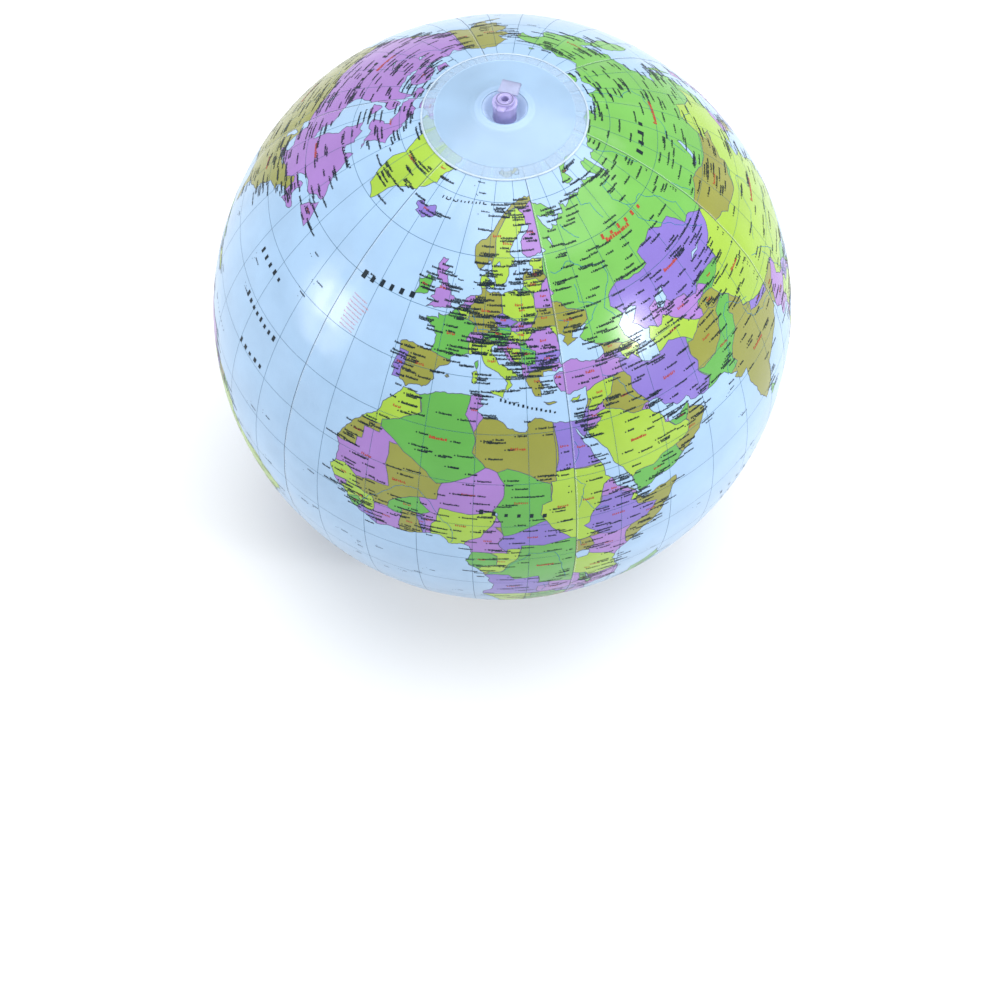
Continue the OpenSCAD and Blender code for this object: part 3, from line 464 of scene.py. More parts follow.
LAKES = """
caspian 47 45 49 46.4 51.5 47 53 46.5 51 44.5 50.3 44.4 52.5 42.5 54 42 53 40.5 53.9 38.8 53.9 37
 51 36.8 49.2 37.6 49 39.2 50.2 40.3 48.5 42 47.5 43.2
aral 58.2 44 58.5 46 61.5 46.7 61.5 44.8 59.5 43.6
balkhash 73.5 45.5 75 46.8 79 46.7 75 46.2
baikal 103.7 51.6 106.2 52.8 109.3 55.8 109.8 55.2 107.5 52.6 105 51.5
ladoga 30.2 61 31 60 33 60.6 31 61.7
onega 34.5 62.5 36 61 35.5 62.8
vanern 12.5 58.8 14 58.7 13.7 59.4
victoria 31.7 -0.5 33 0.3 34.2 -0.3 33.8 -2 32 -2.5
tanganyika 29.2 -3.4 29.5 -5 31 -8.6 30.4 -7.5 29.1 -5
nyasa 34 -9.6 34.8 -12 35.1 -14.3 34.3 -12
chad_lake 13.3 13.2 14.3 13.6 14.4 12.8
superior -92 46.7 -89 48 -86 48.7 -84.7 46.6 -87.5 46.6 -90 46.7
michigan -87.8 42 -87.5 44.5 -85.5 46 -85.2 45 -86.5 43.5 -86.5 42
huron -84.5 46 -81 46 -80 44.7 -81.7 43.3 -82.5 43 -83.5 44.3
erie -83 41.6 -79 42.8 -81 42.5
ontario -79.7 43.3 -76.3 44 -76.5 43.5 -79 43.2
winnipeg -99 53.5 -97 52 -96.8 50.5 -98 52
great_bear -123 66.5 -119 66.5 -121 65.3
great_slave -116 61 -110 62.7 -112 62
"""
RIVERS = """
volga 33 57 36 56.8 39 58 43 56.3 49 55.8 49.5 53.5 46 50 45 48.7 48 46
don 39 54 39 51 43.5 49.5 41 47.6 39.2 47.1
dnieper 32 55 30.5 53 30.5 50.5 35 48.3 33 46.8
danube 8.5 48 13 48.5 17 48 19 47.5 19 45.5 21 44.8 25 43.7 28 44 29.5 45.3
rhine 9 47.5 8 49 7 51 4.5 52
dvina 46 61 43 62.5 41 64.4
pechora 58 62 57 65.5 53 66 53.5 68.4
ob 82 51 83.5 54 81 57 76 60.5 69 61 66 63.5 67 66.5 72 66.6
irtysh 84 47.5 80 50.5 76.5 53 73 55 69 58 69 61
yenisei 94 52 92 56 91 60 87 64.5 86.5 67.5 83 70 81 72
lena 106 54 108 57.5 117 60 126 61 129.5 63 124 66.5 127 71 127 73
amur 116 49 120 53 127.5 50 132 47.8 137 50.5 141 53
tigris 40 38 43 36.5 44.5 33 47 31 48.5 30
indus 81 31.5 75 35 72.5 34 70.5 29.5 68 25.5 67.5 24
ganges 78.5 31 80 27.5 84 25.7 88 25 90 22.5
yangtze 93 34 99 30 101 26.5 106 29.5 111 30.5 115 30 118.5 32 121.5 31.7
yellow 97 34.5 103 36 106 39.5 110 40.5 110.5 35.5 115 35.5 118.5 37.5
mekong 97 31 100 24 101.5 20 105 17 105.5 14 106.5 10
nile 32.5 2 31.5 5 31 9.5 32.5 14 33.5 18 31 20.5 32.8 25 31 29.5 31 31.3
blue_nile 37.5 11.5 35 11.5 32.6 15.5
niger_river -10.5 9.5 -7.5 12.5 -3 16.7 0 16.8 4 11.5 6.5 7.5 6.2 4.6
congo_river 27 -10 26 -3 24.5 1.5 20 2 17 -1.5 15 -4.5 12.5 -6
zambezi 23 -12 23 -16.5 27 -17.8 31 -16 35 -17.8 36.5 -18.7
orange 28 -29.5 22 -29 17 -28.7
mississippi -95 47 -91 43 -90 38.5 -90.5 34 -91.3 31 -89.5 29.3
missouri -112 46.5 -104 48 -98.5 43.5 -95 40 -90.3 38.7
mackenzie -115 61 -124 64 -130 67 -135 69
amazon -77 -4.5 -70 -4 -64 -3.5 -58 -3 -54 -2 -50.5 -0.5
parana -50 -19.5 -54.5 -25.5 -58.5 -27.5 -60.5 -32 -58.5 -34
"""
INKS = {
    "ocean": (0.22, 0.335, 0.48),
    "G": (0.066, 0.245, 0.040),
    "L": (0.098, 0.285, 0.050),
    "Y": (0.21, 0.335, 0.030),
    "O": (0.165, 0.175, 0.028),
    "P": (0.215, 0.115, 0.335),
    "B": (0.135, 0.098, 0.335),
    "A": (0.42, 0.45, 0.49),
    "inside": (0.36, 0.46, 0.56),
}


def numbers(text):
    """Pairs of numbers in text, as points."""
    values = [float(word) for word in text.split()]
    return list(zip(values[::2], values[1::2]))


def entries(block, with_ink):
    """Rows of a table of outlines as (name, ink, points); a row that starts with a space goes on."""
    rows = []
    for line in block.strip().split("\n"):
        if line.startswith(" "):
            rows[-1] += line
        else:
            rows.append(line)
    found = []
    for row in rows:
        words = row.split(None, 2 if with_ink else 1)
        found.append((words[0], words[1] if with_ink else None, numbers(words[-1])))
    return found


def wobble(a, b, amount):
    """Middle of a segment, pushed aside by an amount that depends only on its two ends."""
    a, b = min(a, b), max(a, b)
    chance = math.sin(a[0] * 12.9898 + a[1] * 78.233 + b[0] * 37.719 + b[1] * 9.131) * 43758.5453
    shift = (chance - math.floor(chance) - 0.5) * 2 * amount
    dx, dy = b[0] - a[0], b[1] - a[1]
    return ((a[0] + b[0]) / 2 - dy * shift, (a[1] + b[1]) / 2 + dx * shift)


def roughen(points, levels, amount, closed=True):
    """Breaks up an outline's straight stretches, as a coast or a river bank is broken up."""
    for _ in range(levels):
        finer = []
        last = len(points) if closed else len(points) - 1
        for i in range(last):
            a, b = points[i], points[(i + 1) % len(points)]
            finer.append(a)
            if abs(a[0] - b[0]) + abs(a[1] - b[1]) > 0.5:
                finer.append(wobble(a, b, amount))
        if not closed:
            finer.append(points[-1])
        points = finer
    return points


def clipped(points, axis, limit, keep_below):
    """The part of a closed outline on one side of a line at limit across an axis."""
    sign = 1 if keep_below else -1
    kept = []
    for i, here in enumerate(points):
        before = points[i - 1]
        inside, was_inside = ((p[axis] - limit) * sign <= 0 for p in (here, before))
        if inside != was_inside:
            f = (limit - before[axis]) / (here[axis] - before[axis])
            kept.append(tuple(before[k] + (here[k] - before[k]) * f for k in (0, 1)))
        if inside:
            kept.append(here)
    return kept


def within(places, outline):
    """Which places, rows of two numbers, lie inside a closed outline."""
    x, y = places[:, 0], places[:, 1]
    hit = np.zeros(len(places), bool)
    for (x0, y0), (x1, y1) in zip(outline, outline[1:] + outline[:1]):
        if y0 != y1:
            hit ^= ((y0 > y) != (y1 > y)) & (x < (x1 - x0) * (y - y0) / (y1 - y0) + x0)
    return hit


def printed(points):
    """Points of the map, moved to the latitudes of the ball where they are printed."""
    return [(lon, math.copysign(float(np.interp(abs(lat), PRINT_LATS, BALL_LATS)), lat))
            for lon, lat in points]


# ---------------------------------------------------------------- the skin's surface
def latitude_at(radius):
    """Degrees of latitude at which the skin has this radius."""
    phi = math.acos((radius + ARC_X) / ARC_R)
    return math.degrees(math.asin(math.sin(phi) * ARC_R / POLE_R))


GORE_END_LAT = latitude_at(GORE_END_R)
CAP_LAT = latitude_at(CAP_R)


def smooth(x):
    """Eases from 0 to 1 as x goes from 0 to 1."""
    x = np.clip(x, 0, 1)
    return x * x * (3 - 2 * x)


def relief(lon, lat, radius):
    """How far the film stands out of the smooth skin: seams lie low and pucker, gores swell."""
    across = (lon + HALF_GORE) % GORE - HALF_GORE
    seam = np.round((lon - HALF_GORE) / GORE) % GORE_COUNT
    gap = (HALF_GORE - np.abs(across)) * math.pi / 180 * radius
    valley = -0.25 * MM * np.exp(-(gap / (4.0 * MM)) ** 2)
    swell = 0.4 * MM * np.cos(np.radians(across * 3))
    ripple = np.sin(np.radians(lat) * 41 + seam * 2.1) * np.sin(np.radians(lat) * 17 + seam * 4.3)
    pucker = 0.2 * MM * ripple * np.exp(-gap / (11 * MM))
    away = (CAP_LAT - np.abs(lat)) * math.pi / 180 * ARC_R
    radial = np.sin(np.radians(lon) * 19 + np.sin(np.radians(lon) * 5) * 2) * np.sin(np.radians(lon) * 7)
    fade = smooth(away / (14 * MM))
    return (valley + swell + pucker) * fade + 0.5 * MM * radial * fade * np.exp(-away / (14 * MM))


def skin(lon, lat, out=0.0):
    """Points on the film, or out metres above it, at a longitude and latitude of the ball in degrees."""
    lon, lat = np.asarray(lon, float), np.asarray(lat, float)
    phi = np.arcsin(np.sin(np.radians(lat)) * POLE_R / ARC_R)
    radius = ARC_R * np.cos(phi) - ARC_X
    out = out + relief(lon, lat, radius)
    across = radius + out * np.cos(phi)
    turn = np.radians(lon)
    up = CENTRE_Z + (ARC_R + out) * np.sin(phi)
    return np.stack([across * np.sin(turn), -across * np.cos(turn), up], -1)


def skin_normals(lon, lat):
    """Unit normals of the film, from its slopes."""
    step = 0.02
    east = skin(lon + step, lat) - skin(lon - step, lat)
    north = skin(lon, lat + step) - skin(lon, lat - step)
    n = np.cross(east, north)
    return n / np.linalg.norm(n, axis=-1, keepdims=True)


# ---------------------------------------------------------------- meshes
def new_object(name, verts, faces, materials, face_materials=None, normals=None):
    """A smooth-shaded mesh object in the scene, with its materials and, if given, its own normals."""
    mesh = bpy.data.meshes.new(name)
    mesh.from_pydata([tuple(v) for v in verts], [], faces)
    for material in materials:
        mesh.materials.append(material)
    if face_materials is not None:
        mesh.polygons.foreach_set("material_index", face_materials)
    mesh.polygons.foreach_set("use_smooth", [True] * len(mesh.polygons))
    mesh.update()
    if normals is not None:
        mesh.normals_split_custom_set_from_vertices([tuple(n) for n in normals])
    obj = bpy.data.objects.new(name, mesh)
    bpy.context.scene.collection.objects.link(obj)
    return obj


def rounded(profile, radius, steps=4):
    """A closed profile with each corner that asks for it rounded; a point is (r, z) or (r, z, factor)."""
    result = []
    count = len(profile)
    for i, point in enumerate(profile):
        here = Vector(point[:2])
        size = radius * (point[2] if len(point) > 2 else 1)
        to_last = Vector(profile[i - 1][:2]) - here
        to_next = Vector(profile[(i + 1) % count][:2]) - here
        size = min(size, to_last.length * 0.45, to_next.length * 0.45)
        if size < 1e-6 or here.x < 1e-9:
            result.append(tuple(here))
            continue
        a, b = here + to_last.normalized() * size, here + to_next.normalized() * size
        for k in range(steps + 1):
            t = k / steps
            result.append(tuple(a * (1 - t) ** 2 + here * (2 * t * (1 - t)) + b * t * t))
    return result


def lathe(name, profile, materials, steps=96, lift=None):
    """A closed profile of (radius, height) turned about the polar axis; lift(r, angle) shifts heights."""
    verts, faces = [], []
    count = len(profile)
    for i in range(steps):
        a = 2 * math.pi * i / steps
        for r, z in profile:
            verts.append((r * math.sin(a), -r * math.cos(a), z + (lift(r, a) if lift else 0)))
    for i in range(steps):
        j = (i + 1) % steps
        for k in range(count):
            m = (k + 1) % count
            corners = [i * count + k, j * count + k, j * count + m, i * count + m]
            if profile[k][0] < 1e-9 and profile[m][0] < 1e-9:
                continue
            if profile[k][0] < 1e-9:
                corners.pop(0)
            elif profile[m][0] < 1e-9:
                corners.pop(2)
            faces.append(tuple(corners))
    obj = new_object(name, verts, faces, materials)
    tidy_mesh(obj)
    return obj


def tidy_mesh(obj):
    """Joins doubled points and turns the faces outwards."""
    mesh = bmesh.new()
    mesh.from_mesh(obj.data)
    bmesh.ops.remove_doubles(mesh, verts=mesh.verts, dist=1e-7)
    bmesh.ops.recalc_face_normals(mesh, faces=mesh.faces)
    mesh.to_mesh(obj.data)
    mesh.free()


# ---------------------------------------------------------------- materials
def new_material(name):
    """An empty node material with one shader in it."""
    material = bpy.data.materials.new(name)
    material.use_nodes = True
    tree = material.node_tree
    tree.nodes.clear()
    output = tree.nodes.new("ShaderNodeOutputMaterial")
    shader = tree.nodes.new("ShaderNodeBsdfPrincipled")
    tree.links.new(shader.outputs["BSDF"], output.inputs["Surface"])
    return material, tree, shader


def noise(tree, scale, detail=3.0):
    """Noise in the object's own metres, scale bumps to the metre."""
    place = tree.nodes.new("ShaderNodeTexCoord")
    node = tree.nodes.new("ShaderNodeTexNoise")
    node.inputs["Scale"].default_value = scale
    node.inputs["Detail"].default_value = detail
    tree.links.new(place.outputs["Object"], node.inputs["Vector"])
    return node.outputs["Fac"]


def tinted(tree, factor, dark, light, low=0.35, high=0.65):
    """A colour that runs from dark to light as factor goes from low to high."""
    ramp = tree.nodes.new("ShaderNodeValToRGB")
    ramp.color_ramp.elements[0].position = low
    ramp.color_ramp.elements[1].position = high
    ramp.color_ramp.elements[0].color = (*dark, 1)
    ramp.color_ramp.elements[1].color = (*light, 1)
    tree.links.new(factor, ramp.inputs["Fac"])
    return ramp.outputs["Color"]


def bumped(tree, heights):
    """A normal bumped by several (height, depth in metres) outputs."""
    normal = None
    for height, depth in heights:
        bump = tree.nodes.new("ShaderNodeBump")
        bump.inputs["Distance"].default_value = depth
        bump.inputs["Strength"].default_value = 1.0
        tree.links.new(height, bump.inputs["Height"])
        if normal is not None:
            tree.links.new(normal, bump.inputs["Normal"])
        normal = bump.outputs["Normal"]
    return normal


def scaled(colour, by):
    """A colour made lighter or darker."""
    return tuple(min(1.0, c * by) for c in colour)


def film_ink(name, colour):
    """A flat printing ink under glossy PVC film: faint blotches and print grain, long soft ripples."""
    material, tree, shader = new_material(name)
    blotch = tinted(tree, noise(tree, 45), scaled(colour, 0.95), scaled(colour, 1.04))
    shader.inputs["Roughness"].default_value = 0.35
    shader.inputs["Specular IOR Level"].default_value = 0.1
    shader.inputs["Coat Weight"].default_value = 0.5
    shader.inputs["Coat Roughness"].default_value = 0.17
    tree.links.new(blotch, shader.inputs["Base Color"])
    normal = bumped(tree, [(noise(tree, 22, 1.0), 0.5 * MM), (noise(tree, 700, 2.0), 0.003 * MM)])
    tree.links.new(normal, shader.inputs["Normal"])
    return material


def line_ink(name, colour, alpha=1.0):
    """Ink of the printed lines, a little uneven along their length."""
    material, tree, shader = new_material(name)
    tone = tinted(tree, noise(tree, 900), colour, scaled(colour, 1.4))
    tree.links.new(tone, shader.inputs["Base Color"])
    shader.inputs["Roughness"].default_value = 0.4
    shader.inputs["Specular IOR Level"].default_value = 0.08
    shader.inputs["Coat Weight"].default_value = 0.05
    shader.inputs["Coat Roughness"].default_value = 0.17
    shader.inputs["Alpha"].default_value = alpha
    return material


def clear_pvc(name, tint, alpha, streaks=60, roughness=0.08, painted_glow=0.0):
    """See-through PVC: tinted, glossy, with faint flow streaks that make it a little cloudy in places; its
    glow is emission, painted light that stands for the light its milky body gathers and gives off again."""
    material, tree, shader = new_material(name)
    flow = noise(tree, streaks, 2.0)
    tree.links.new(tinted(tree, flow, scaled(tint, 0.92), scaled(tint, 1.05)), shader.inputs["Base Color"])
    cloud = tree.nodes.new("ShaderNodeMapRange")
    cloud.inputs["To Min"].default_value = alpha * 0.9
    cloud.inputs["To Max"].default_value = min(1.0, alpha * 1.1)
    tree.links.new(flow, cloud.inputs["Value"])
    tree.links.new(cloud.outputs["Result"], shader.inputs["Alpha"])
    shader.inputs["Roughness"].default_value = roughness
    shader.inputs["IOR"].default_value = 1.5
    shader.inputs["Coat Weight"].default_value = 0.25
    shader.inputs["Coat Roughness"].default_value = roughness / 2
    # Painted glow: emission in the tint's colour, standing in for light gathered inside the film, not a
    # lamp.
    shader.inputs["Emission Color"].default_value = (*tint, 1)
    shader.inputs["Emission Strength"].default_value = painted_glow
    tree.links.new(bumped(tree, [(noise(tree, streaks * 1.5, 1.0), 0.15 * MM)]), shader.inputs["Normal"])
    return material


inks = {key: film_ink("ink_" + key, colour) for key, colour in INKS.items()}
INK_ORDER = list(INKS)
LINE_INKS = {
    "border": line_ink("border_ink", (0.06, 0.07, 0.10), 0.8),
    "graticule": line_ink("graticule_ink", (0.02, 0.08, 0.13), 0.6),
    "river": line_ink("river_ink", (0.01, 0.11, 0.22), 0.7),
    "black": line_ink("label_ink", (0.006, 0.012, 0.018)),
    "red": line_ink("name_ink", (0.24, 0.035, 0.02), 0.85),
    "faint": line_ink("list_ink", (0.42, 0.12, 0.10), 0.4),
    # The seam's pale strip is partly unprinted weld margin and partly a painted highlight of the weld; the
    # dark ink is a dark line on the seam.
    "pale": line_ink("seam_weld_margin_painted_highlight", (0.60, 0.64, 0.67), 0.12),
    "dark": line_ink("seam_dark_line", (0.03, 0.06, 0.08), 0.65),
}
LINE_ORDER = list(LINE_INKS)

# ---------------------------------------------------------------- printed gores
GRATICULE_WIDTH = 0.26 * MM
RIVER_WIDTH = 0.3 * MM
BORDER_WIDTH = 0.36 * MM
SEAM_LINES = ((0.0, 0.38 * MM, "dark"), (0.6 * MM, 0.6 * MM, "pale"))   # place off the seam, width, ink
BEYOND = (999, 0)                    # a point outside every gore, which ends a river's last piece

coasts = [(name, LAND_INK[name], printed(roughen(numbers(text), 2, 0.13))) for name, text in LAND.items()]
countries = [(n, ink, printed(roughen(points, 2, 0.07))) for n, ink, points in entries(COUNTRIES, True)]
lakes = [(n, None, printed(roughen(points, 2, 0.08))) for n, _, points in entries(LAKES, False)]
rivers = [printed(roughen(points, 2, 0.12, False)) for _, _, points in entries(RIVERS, False)]


def in_gore(points, middle, clip=True):
    """Copies of an outline that reach this gore, in degrees from its middle, clipped to it or whole."""
    copies = []
    for shift in (-360, 0, 360):
        moved = [((lon + shift - middle) * PRINT_STRETCH, lat) for lon, lat in points]
        if min(p[0] for p in moved) > HALF_GORE or max(p[0] for p in moved) < -HALF_GORE:
            continue
        for axis, limit, below in ((0, HALF_GORE, True), (0, -HALF_GORE, False),
                                   (1, GORE_END_LAT, True), (1, -GORE_END_LAT, False)):
            if moved and clip:
                moved = clipped(moved, axis, limit, below)
        if len(moved) > 2:
            copies.append(moved)
    return copies


def gore_map(middle):
    """Triangles of a gore, cut along every coast and border, with what each one shows."""
    side, end = HALF_GORE, GORE_END_LAT
    near_seam = (0.6, 1.2, 2.0, 3.0)
    columns = [-side + d for d in near_seam]
    columns += list(np.arange(-25, 25.1, 2.5))
    columns += [side - d for d in near_seam]
    rows = np.linspace(-end, end, 82)
    points = [Vector((u, v)) for u in columns for v in rows]
    points += [Vector((u, v)) for u in (-side, side) for v in rows]
    edges = []
    for table in (coasts, countries, lakes):
        for _, _, outline in table:
            for copy in in_gore(outline, middle):
                start, count = len(points), len(copy)
                points.extend(Vector(p) for p in copy)
                edges += [(start + i, start + (i + 1) % count) for i in range(count)]
    verts, _, tris, _, _, _ = delaunay_2d_cdt(points, edges, [], 0, 1e-6, False)
    verts = np.array([tuple(v) for v in verts])
    tris = np.array([tuple(t) for t in tris])
    centres = verts[tris].mean(axis=1)
    place = np.full(len(tris), "sea", dtype=object)
    ink = np.full(len(tris), "ocean", dtype=object)
    land = np.zeros(len(tris), bool)
    for name, colour, outline in coasts:
        for copy in in_gore(outline, middle, False):
            hit = within(centres, copy)
            place[hit], ink[hit], land[hit] = name, colour, True
    for name, colour, outline in countries:
        for copy in in_gore(outline, middle, False):
            hit = within(centres, copy) & land
            place[hit], ink[hit] = name, colour
    for name, _, outline in lakes:
        for copy in in_gore(outline, middle, False):
            hit = within(centres, copy)
            place[hit], ink[hit] = "sea", "ocean"
    return verts, tris, place, ink


def chains(edges):
    """Joins edges end to end into lines that stop where more or fewer than two edges meet."""
    near = {}
    for a, b in edges:
        near.setdefault(a, []).append(b)
        near.setdefault(b, []).append(a)
    unused = set(frozenset(e) for e in edges)
    lines = []

    def walk(a, b):
        line = [a, b]
        unused.discard(frozenset((a, b)))
        while len(near[line[-1]]) == 2:
            onward = [n for n in near[line[-1]] if frozenset((line[-1], n)) in unused]
            if not onward:
                break
            unused.discard(frozenset((line[-1], onward[0])))
            line.append(onward[0])
        return line

    for ends_only in (True, False):
        for start in sorted(near):
            if len(near[start]) != 2 or not ends_only:
                for n in near[start]:
                    if frozenset((start, n)) in unused:
                        lines.append(walk(start, n))
    return lines


def degrees_along(length):
    """Degrees of arc that a length takes up on the film."""
    return length / ARC_R * 180 / math.pi


class Print:
    """Flat printed lines and marks, gathered into one mesh that lies just over the film."""

    def __init__(self, lift):
        self.lift = lift
        self.lon, self.lat, self.faces, self.inks = [], [], [], []

    def line(self, lon, lat, width, ink):
        """A ribbon along a line; widths are in metres and are turned into degrees at each point."""
        lon, lat = np.asarray(lon, float), np.asarray(lat, float)
        if len(lon) < 2:
            return
        shrink = np.maximum(np.cos(np.radians(lat)), 0.05)
        x, y = np.gradient(lon) * shrink, np.gradient(lat)
        length = np.maximum(np.hypot(x, y), 1e-9)
        half = degrees_along(width / 2)
        side_lon, side_lat = -y / length * half / shrink, x / length * half
        start = len(self.lon)
        for k in range(len(lon)):
            self.lon += [lon[k] - side_lon[k], lon[k] + side_lon[k]]
            self.lat += [lat[k] - side_lat[k], lat[k] + side_lat[k]]
        for k in range(len(lon) - 1):
            a = start + 2 * k
            self.faces.append((a, a + 2, a + 3, a + 1))
            self.inks.append(LINE_ORDER.index(ink))

    def patch(self, corners, ink):
        """A small polygon with its corners at these longitudes and latitudes."""
        start = len(self.lon)
        self.lon += [c[0] for c in corners]
        self.lat += [c[1] for c in corners]
        self.faces.append(tuple(range(start, start + len(corners))))
        self.inks.append(LINE_ORDER.index(ink))

    def build(self, name):
        """The finished mesh, which rides on the ball."""
        lon, lat = np.array(self.lon), np.array(self.lat)
        verts, normals = skin(lon, lat, self.lift), skin_normals(lon, lat)
        materials = [LINE_INKS[key] for key in LINE_ORDER]
        obj = new_object(name, verts, self.faces, materials, self.inks, normals)
        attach(obj, "ball")
        return obj


regions = []                         # what each gore shows, for the labels


def build_gore(index):
    """One gore: a closed sheet of film that is printed outside, and the ink of its borders."""
    middle = GORE * (index - 1)
    flat, tris, places, shown = gore_map(middle)
    lon, lat = flat[:, 0] + middle, flat[:, 1]
    outer, normals = skin(lon, lat), skin_normals(lon, lat)
    inner = outer - normals * FILM
    count = len(outer)
    faces = [tuple(t) for t in tris.tolist()]
    faces += [(count + c, count + b, count + a) for a, b, c in tris.tolist()]
    slots = [INK_ORDER.index(ink) for ink in shown] + [INK_ORDER.index("inside")] * len(tris)
    owners = {}
    for t, place in zip(tris.tolist(), places):
        for k in range(3):
            owners.setdefault(frozenset((t[k], t[(k + 1) % 3])), []).append((t[k], t[(k + 1) % 3], place))
    edges = []
    for pair in owners.values():
        if len(pair) == 1:
            a, b = pair[0][:2]
            faces.append((b, a, count + a, count + b))
            slots.append(INK_ORDER.index("inside"))
        elif pair[0][2] != pair[1][2]:
            edges.append(pair[0][:2])
    gore = new_object("gore_film_%d" % index, list(outer) + list(inner), faces,
                      [inks[key] for key in INK_ORDER], slots, list(normals) + list(-normals))
    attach(gore, "ball")
    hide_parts("gore_%d" % index)
    lines = Print(0.05 * MM)
    for line in chains(edges):
        lines.line(lon[line], lat[line], BORDER_WIDTH, "border")
    lines.build("print_borders_%d" % index)
    corner = flat[tris]
    one, two = corner[:, 1] - corner[:, 0], corner[:, 2] - corner[:, 0]
    area = np.abs(one[:, 0] * two[:, 1] - one[:, 1] * two[:, 0]) / 2
    regions.append((middle, flat, tris, area * np.cos(np.radians(corner[:, :, 1].mean(axis=1))), places))


# The CAD's gore_1 is the gore whose middle is at longitude 0, and they follow each other eastwards.
for gore_index in range(1, GORE_COUNT + 1):
    build_gore(gore_index)


def build_graticule():
    """The print's meridians and parallels, every ten degrees, and its rivers."""
    lines = Print(0.035 * MM)
    count = 90
    heights = np.linspace(-GORE_END_LAT, GORE_END_LAT, count)
    for index in range(GORE_COUNT):
        middle = GORE * index
        for k in (-20, -10, 0, 10, 20):
            lines.line(np.full(count, middle + k * PRINT_STRETCH), heights, GRATICULE_WIDTH, "graticule")
        across = np.linspace(-HALF_GORE, HALF_GORE, 30) + middle
        for _, lat in printed([(0, lat) for lat in range(-70, 80, 10)]):
            lines.line(across, np.full(30, lat), GRATICULE_WIDTH, "graticule")
        for points in rivers:
            for shift in (-360, 0, 360):
                kept = []
                for lon, lat in points + [BEYOND]:
                    u = (lon + shift - middle) * PRINT_STRETCH
                    if abs(u) < HALF_GORE:
                        kept.append((middle + u, lat))
                    elif kept:
                        lines.line([p[0] for p in kept], [p[1] for p in kept], RIVER_WIDTH, "river")
                        kept = []
    return lines.build("print_graticule")


def build_seams():
    """Each seam: a dark line on the seam and, beside it, the pale strip of its weld, partly unprinted
    margin and partly a painted highlight.
    """
    lines = Print(0.07 * MM)
    heights = np.linspace(-GORE_END_LAT, GORE_END_LAT, 160)
    radius = np.cos(np.radians(heights)) * EQ_R
    for index in range(GORE_COUNT):
        seam = GORE * index + HALF_GORE
        for gap, width, ink in SEAM_LINES:
            lines.line(seam + np.degrees(gap / radius), heights, width, ink)
    return lines.build("seam_welds")


# ---------------------------------------------------------------- labels
RADIAN = 57.3                        # its degrees, near enough for the width of a word
TOWN_LETTERS = 1.1 * MM              # height of the marks beside a town
PORT_LETTERS = 1.05 * MM
BIG_LETTERS = 1.5 * MM               # from this height on, a word is a row of separate blocks
LETTER_STEP = 0.72                   # from one letter to the next, in letter heights
LIST_ROWS = 9                        # rows of faint blocks, where a map has a small list in the ocean
chance = np.random.default_rng(20)


def word(target, lon, lat, letters, height, ink, spread=1.0, slope=0.0):
    """A row of small blocks that stands for a printed word, height metres tall, from lon eastwards."""
    up = degrees_along(height)
    shrink = max(math.cos(math.radians(lat)), 0.2)
    step = up * LETTER_STEP * spread / shrink
    middle = round(lon / GORE) * GORE
    for k in range(letters):
        x = lon + k * step
        y = lat + k * step * slope
        if abs(x + step - middle) > HALF_GORE - 0.6:
            break
        tall = up * (1.0 if k == 0 else chance.uniform(0.55, 0.95))
        wide = up * (0.42 if height < BIG_LETTERS else 0.62) / shrink * chance.uniform(0.8, 1.1)
        lean = wide * 0.12
        target.patch([(x, y), (x + wide, y), (x + wide + lean, y + tall), (x + lean, y + tall)], ink)
        if height > BIG_LETTERS:
            continue
        if chance.random() < 0.25:
            target.patch([(x, y - up * 0.1), (x + step, y - up * 0.1), (x + step, y + up * 0.25),
                          (x, y + up * 0.25)], ink)


def dot(target, lon, lat, size, ink="black"):
    """A six-sided dot that marks a town or an island."""
    half = degrees_along(size / 2)
    shrink = max(math.cos(math.radians(lat)), 0.2)
    target.patch([(lon + half * math.cos(a) / shrink, lat + half * math.sin(a))
                  for a in (math.radians(30 + 60 * k) for k in range(6))], ink)


def label_region(target, name, middle, flat, tris, area):
    """A country's name, as a red row, and its towns, as dots with a row beside each. Small countries and
    those north of 36 degrees are the more crowded."""
    total = area.sum()
    centres = flat[tris].mean(axis=1)
    mid = (centres * area[:, None]).sum(axis=0) / total
    if total > 4:
        letters = int(min(11, 3 + total ** 0.5 * 0.42))
        height = min(2.2, 0.95 + total ** 0.5 * 0.045) * MM
        width = letters * height * LETTER_STEP / ARC_R * RADIAN / max(math.cos(math.radians(mid[1])), 0.2)
        word(target, middle + mid[0] - width / 2, mid[1], letters, height, "red")
    crowd = 0.15 if mid[1] > 36 else 0.06
    towns = int(min(70, 3 + total * crowd))
    share = area / total
    for pick in chance.choice(len(area), towns, p=share):
        mix = chance.dirichlet((1, 1, 1))
        u, v = (flat[tris[pick]] * mix[:, None]).sum(axis=0)
        if abs(u) > HALF_GORE - 1.2 or abs(v) > GORE_END_LAT - 2:
            continue
        dot(target, middle + u, v, 0.8 * MM)
        letters = int(chance.integers(6, 15))
        word(target, middle + u + 0.5, v - 0.15, letters, TOWN_LETTERS, "black", 0.75)


def label_coast(target, middle, flat, tris, area, places):
    """Names of ports, which stand out over the sea beside the coast they belong to."""
    centres = flat[tris].mean(axis=1)
    land = places != "sea"
    if not land.any():
        return
    for pick in chance.choice(len(area), int(min(420, land.sum() / 7)), p=land / land.sum()):
        u, v = centres[pick]
        letters = int(chance.integers(6, 17))
        near = np.abs(centres - centres[pick]).max(axis=1) < 3
        sea_side = centres[near & ~land]
        if len(sea_side) < 3 or abs(v) > GORE_END_LAT - 2:
            continue
        out = sea_side.mean(axis=0) - centres[pick]
        shrink = max(math.cos(math.radians(v)), 0.2)
        width = letters * 0.95 * 0.58 * MM / ARC_R * RADIAN / shrink
        start = u + 0.7 if out[0] > 0 else u - width - 0.7
        if abs(start) < HALF_GORE - 1 and abs(start + width) < HALF_GORE - 1:
            lat = v + chance.uniform(-0.8, 0.8)
            word(target, middle + start, lat, letters, PORT_LETTERS, "black", 0.75)


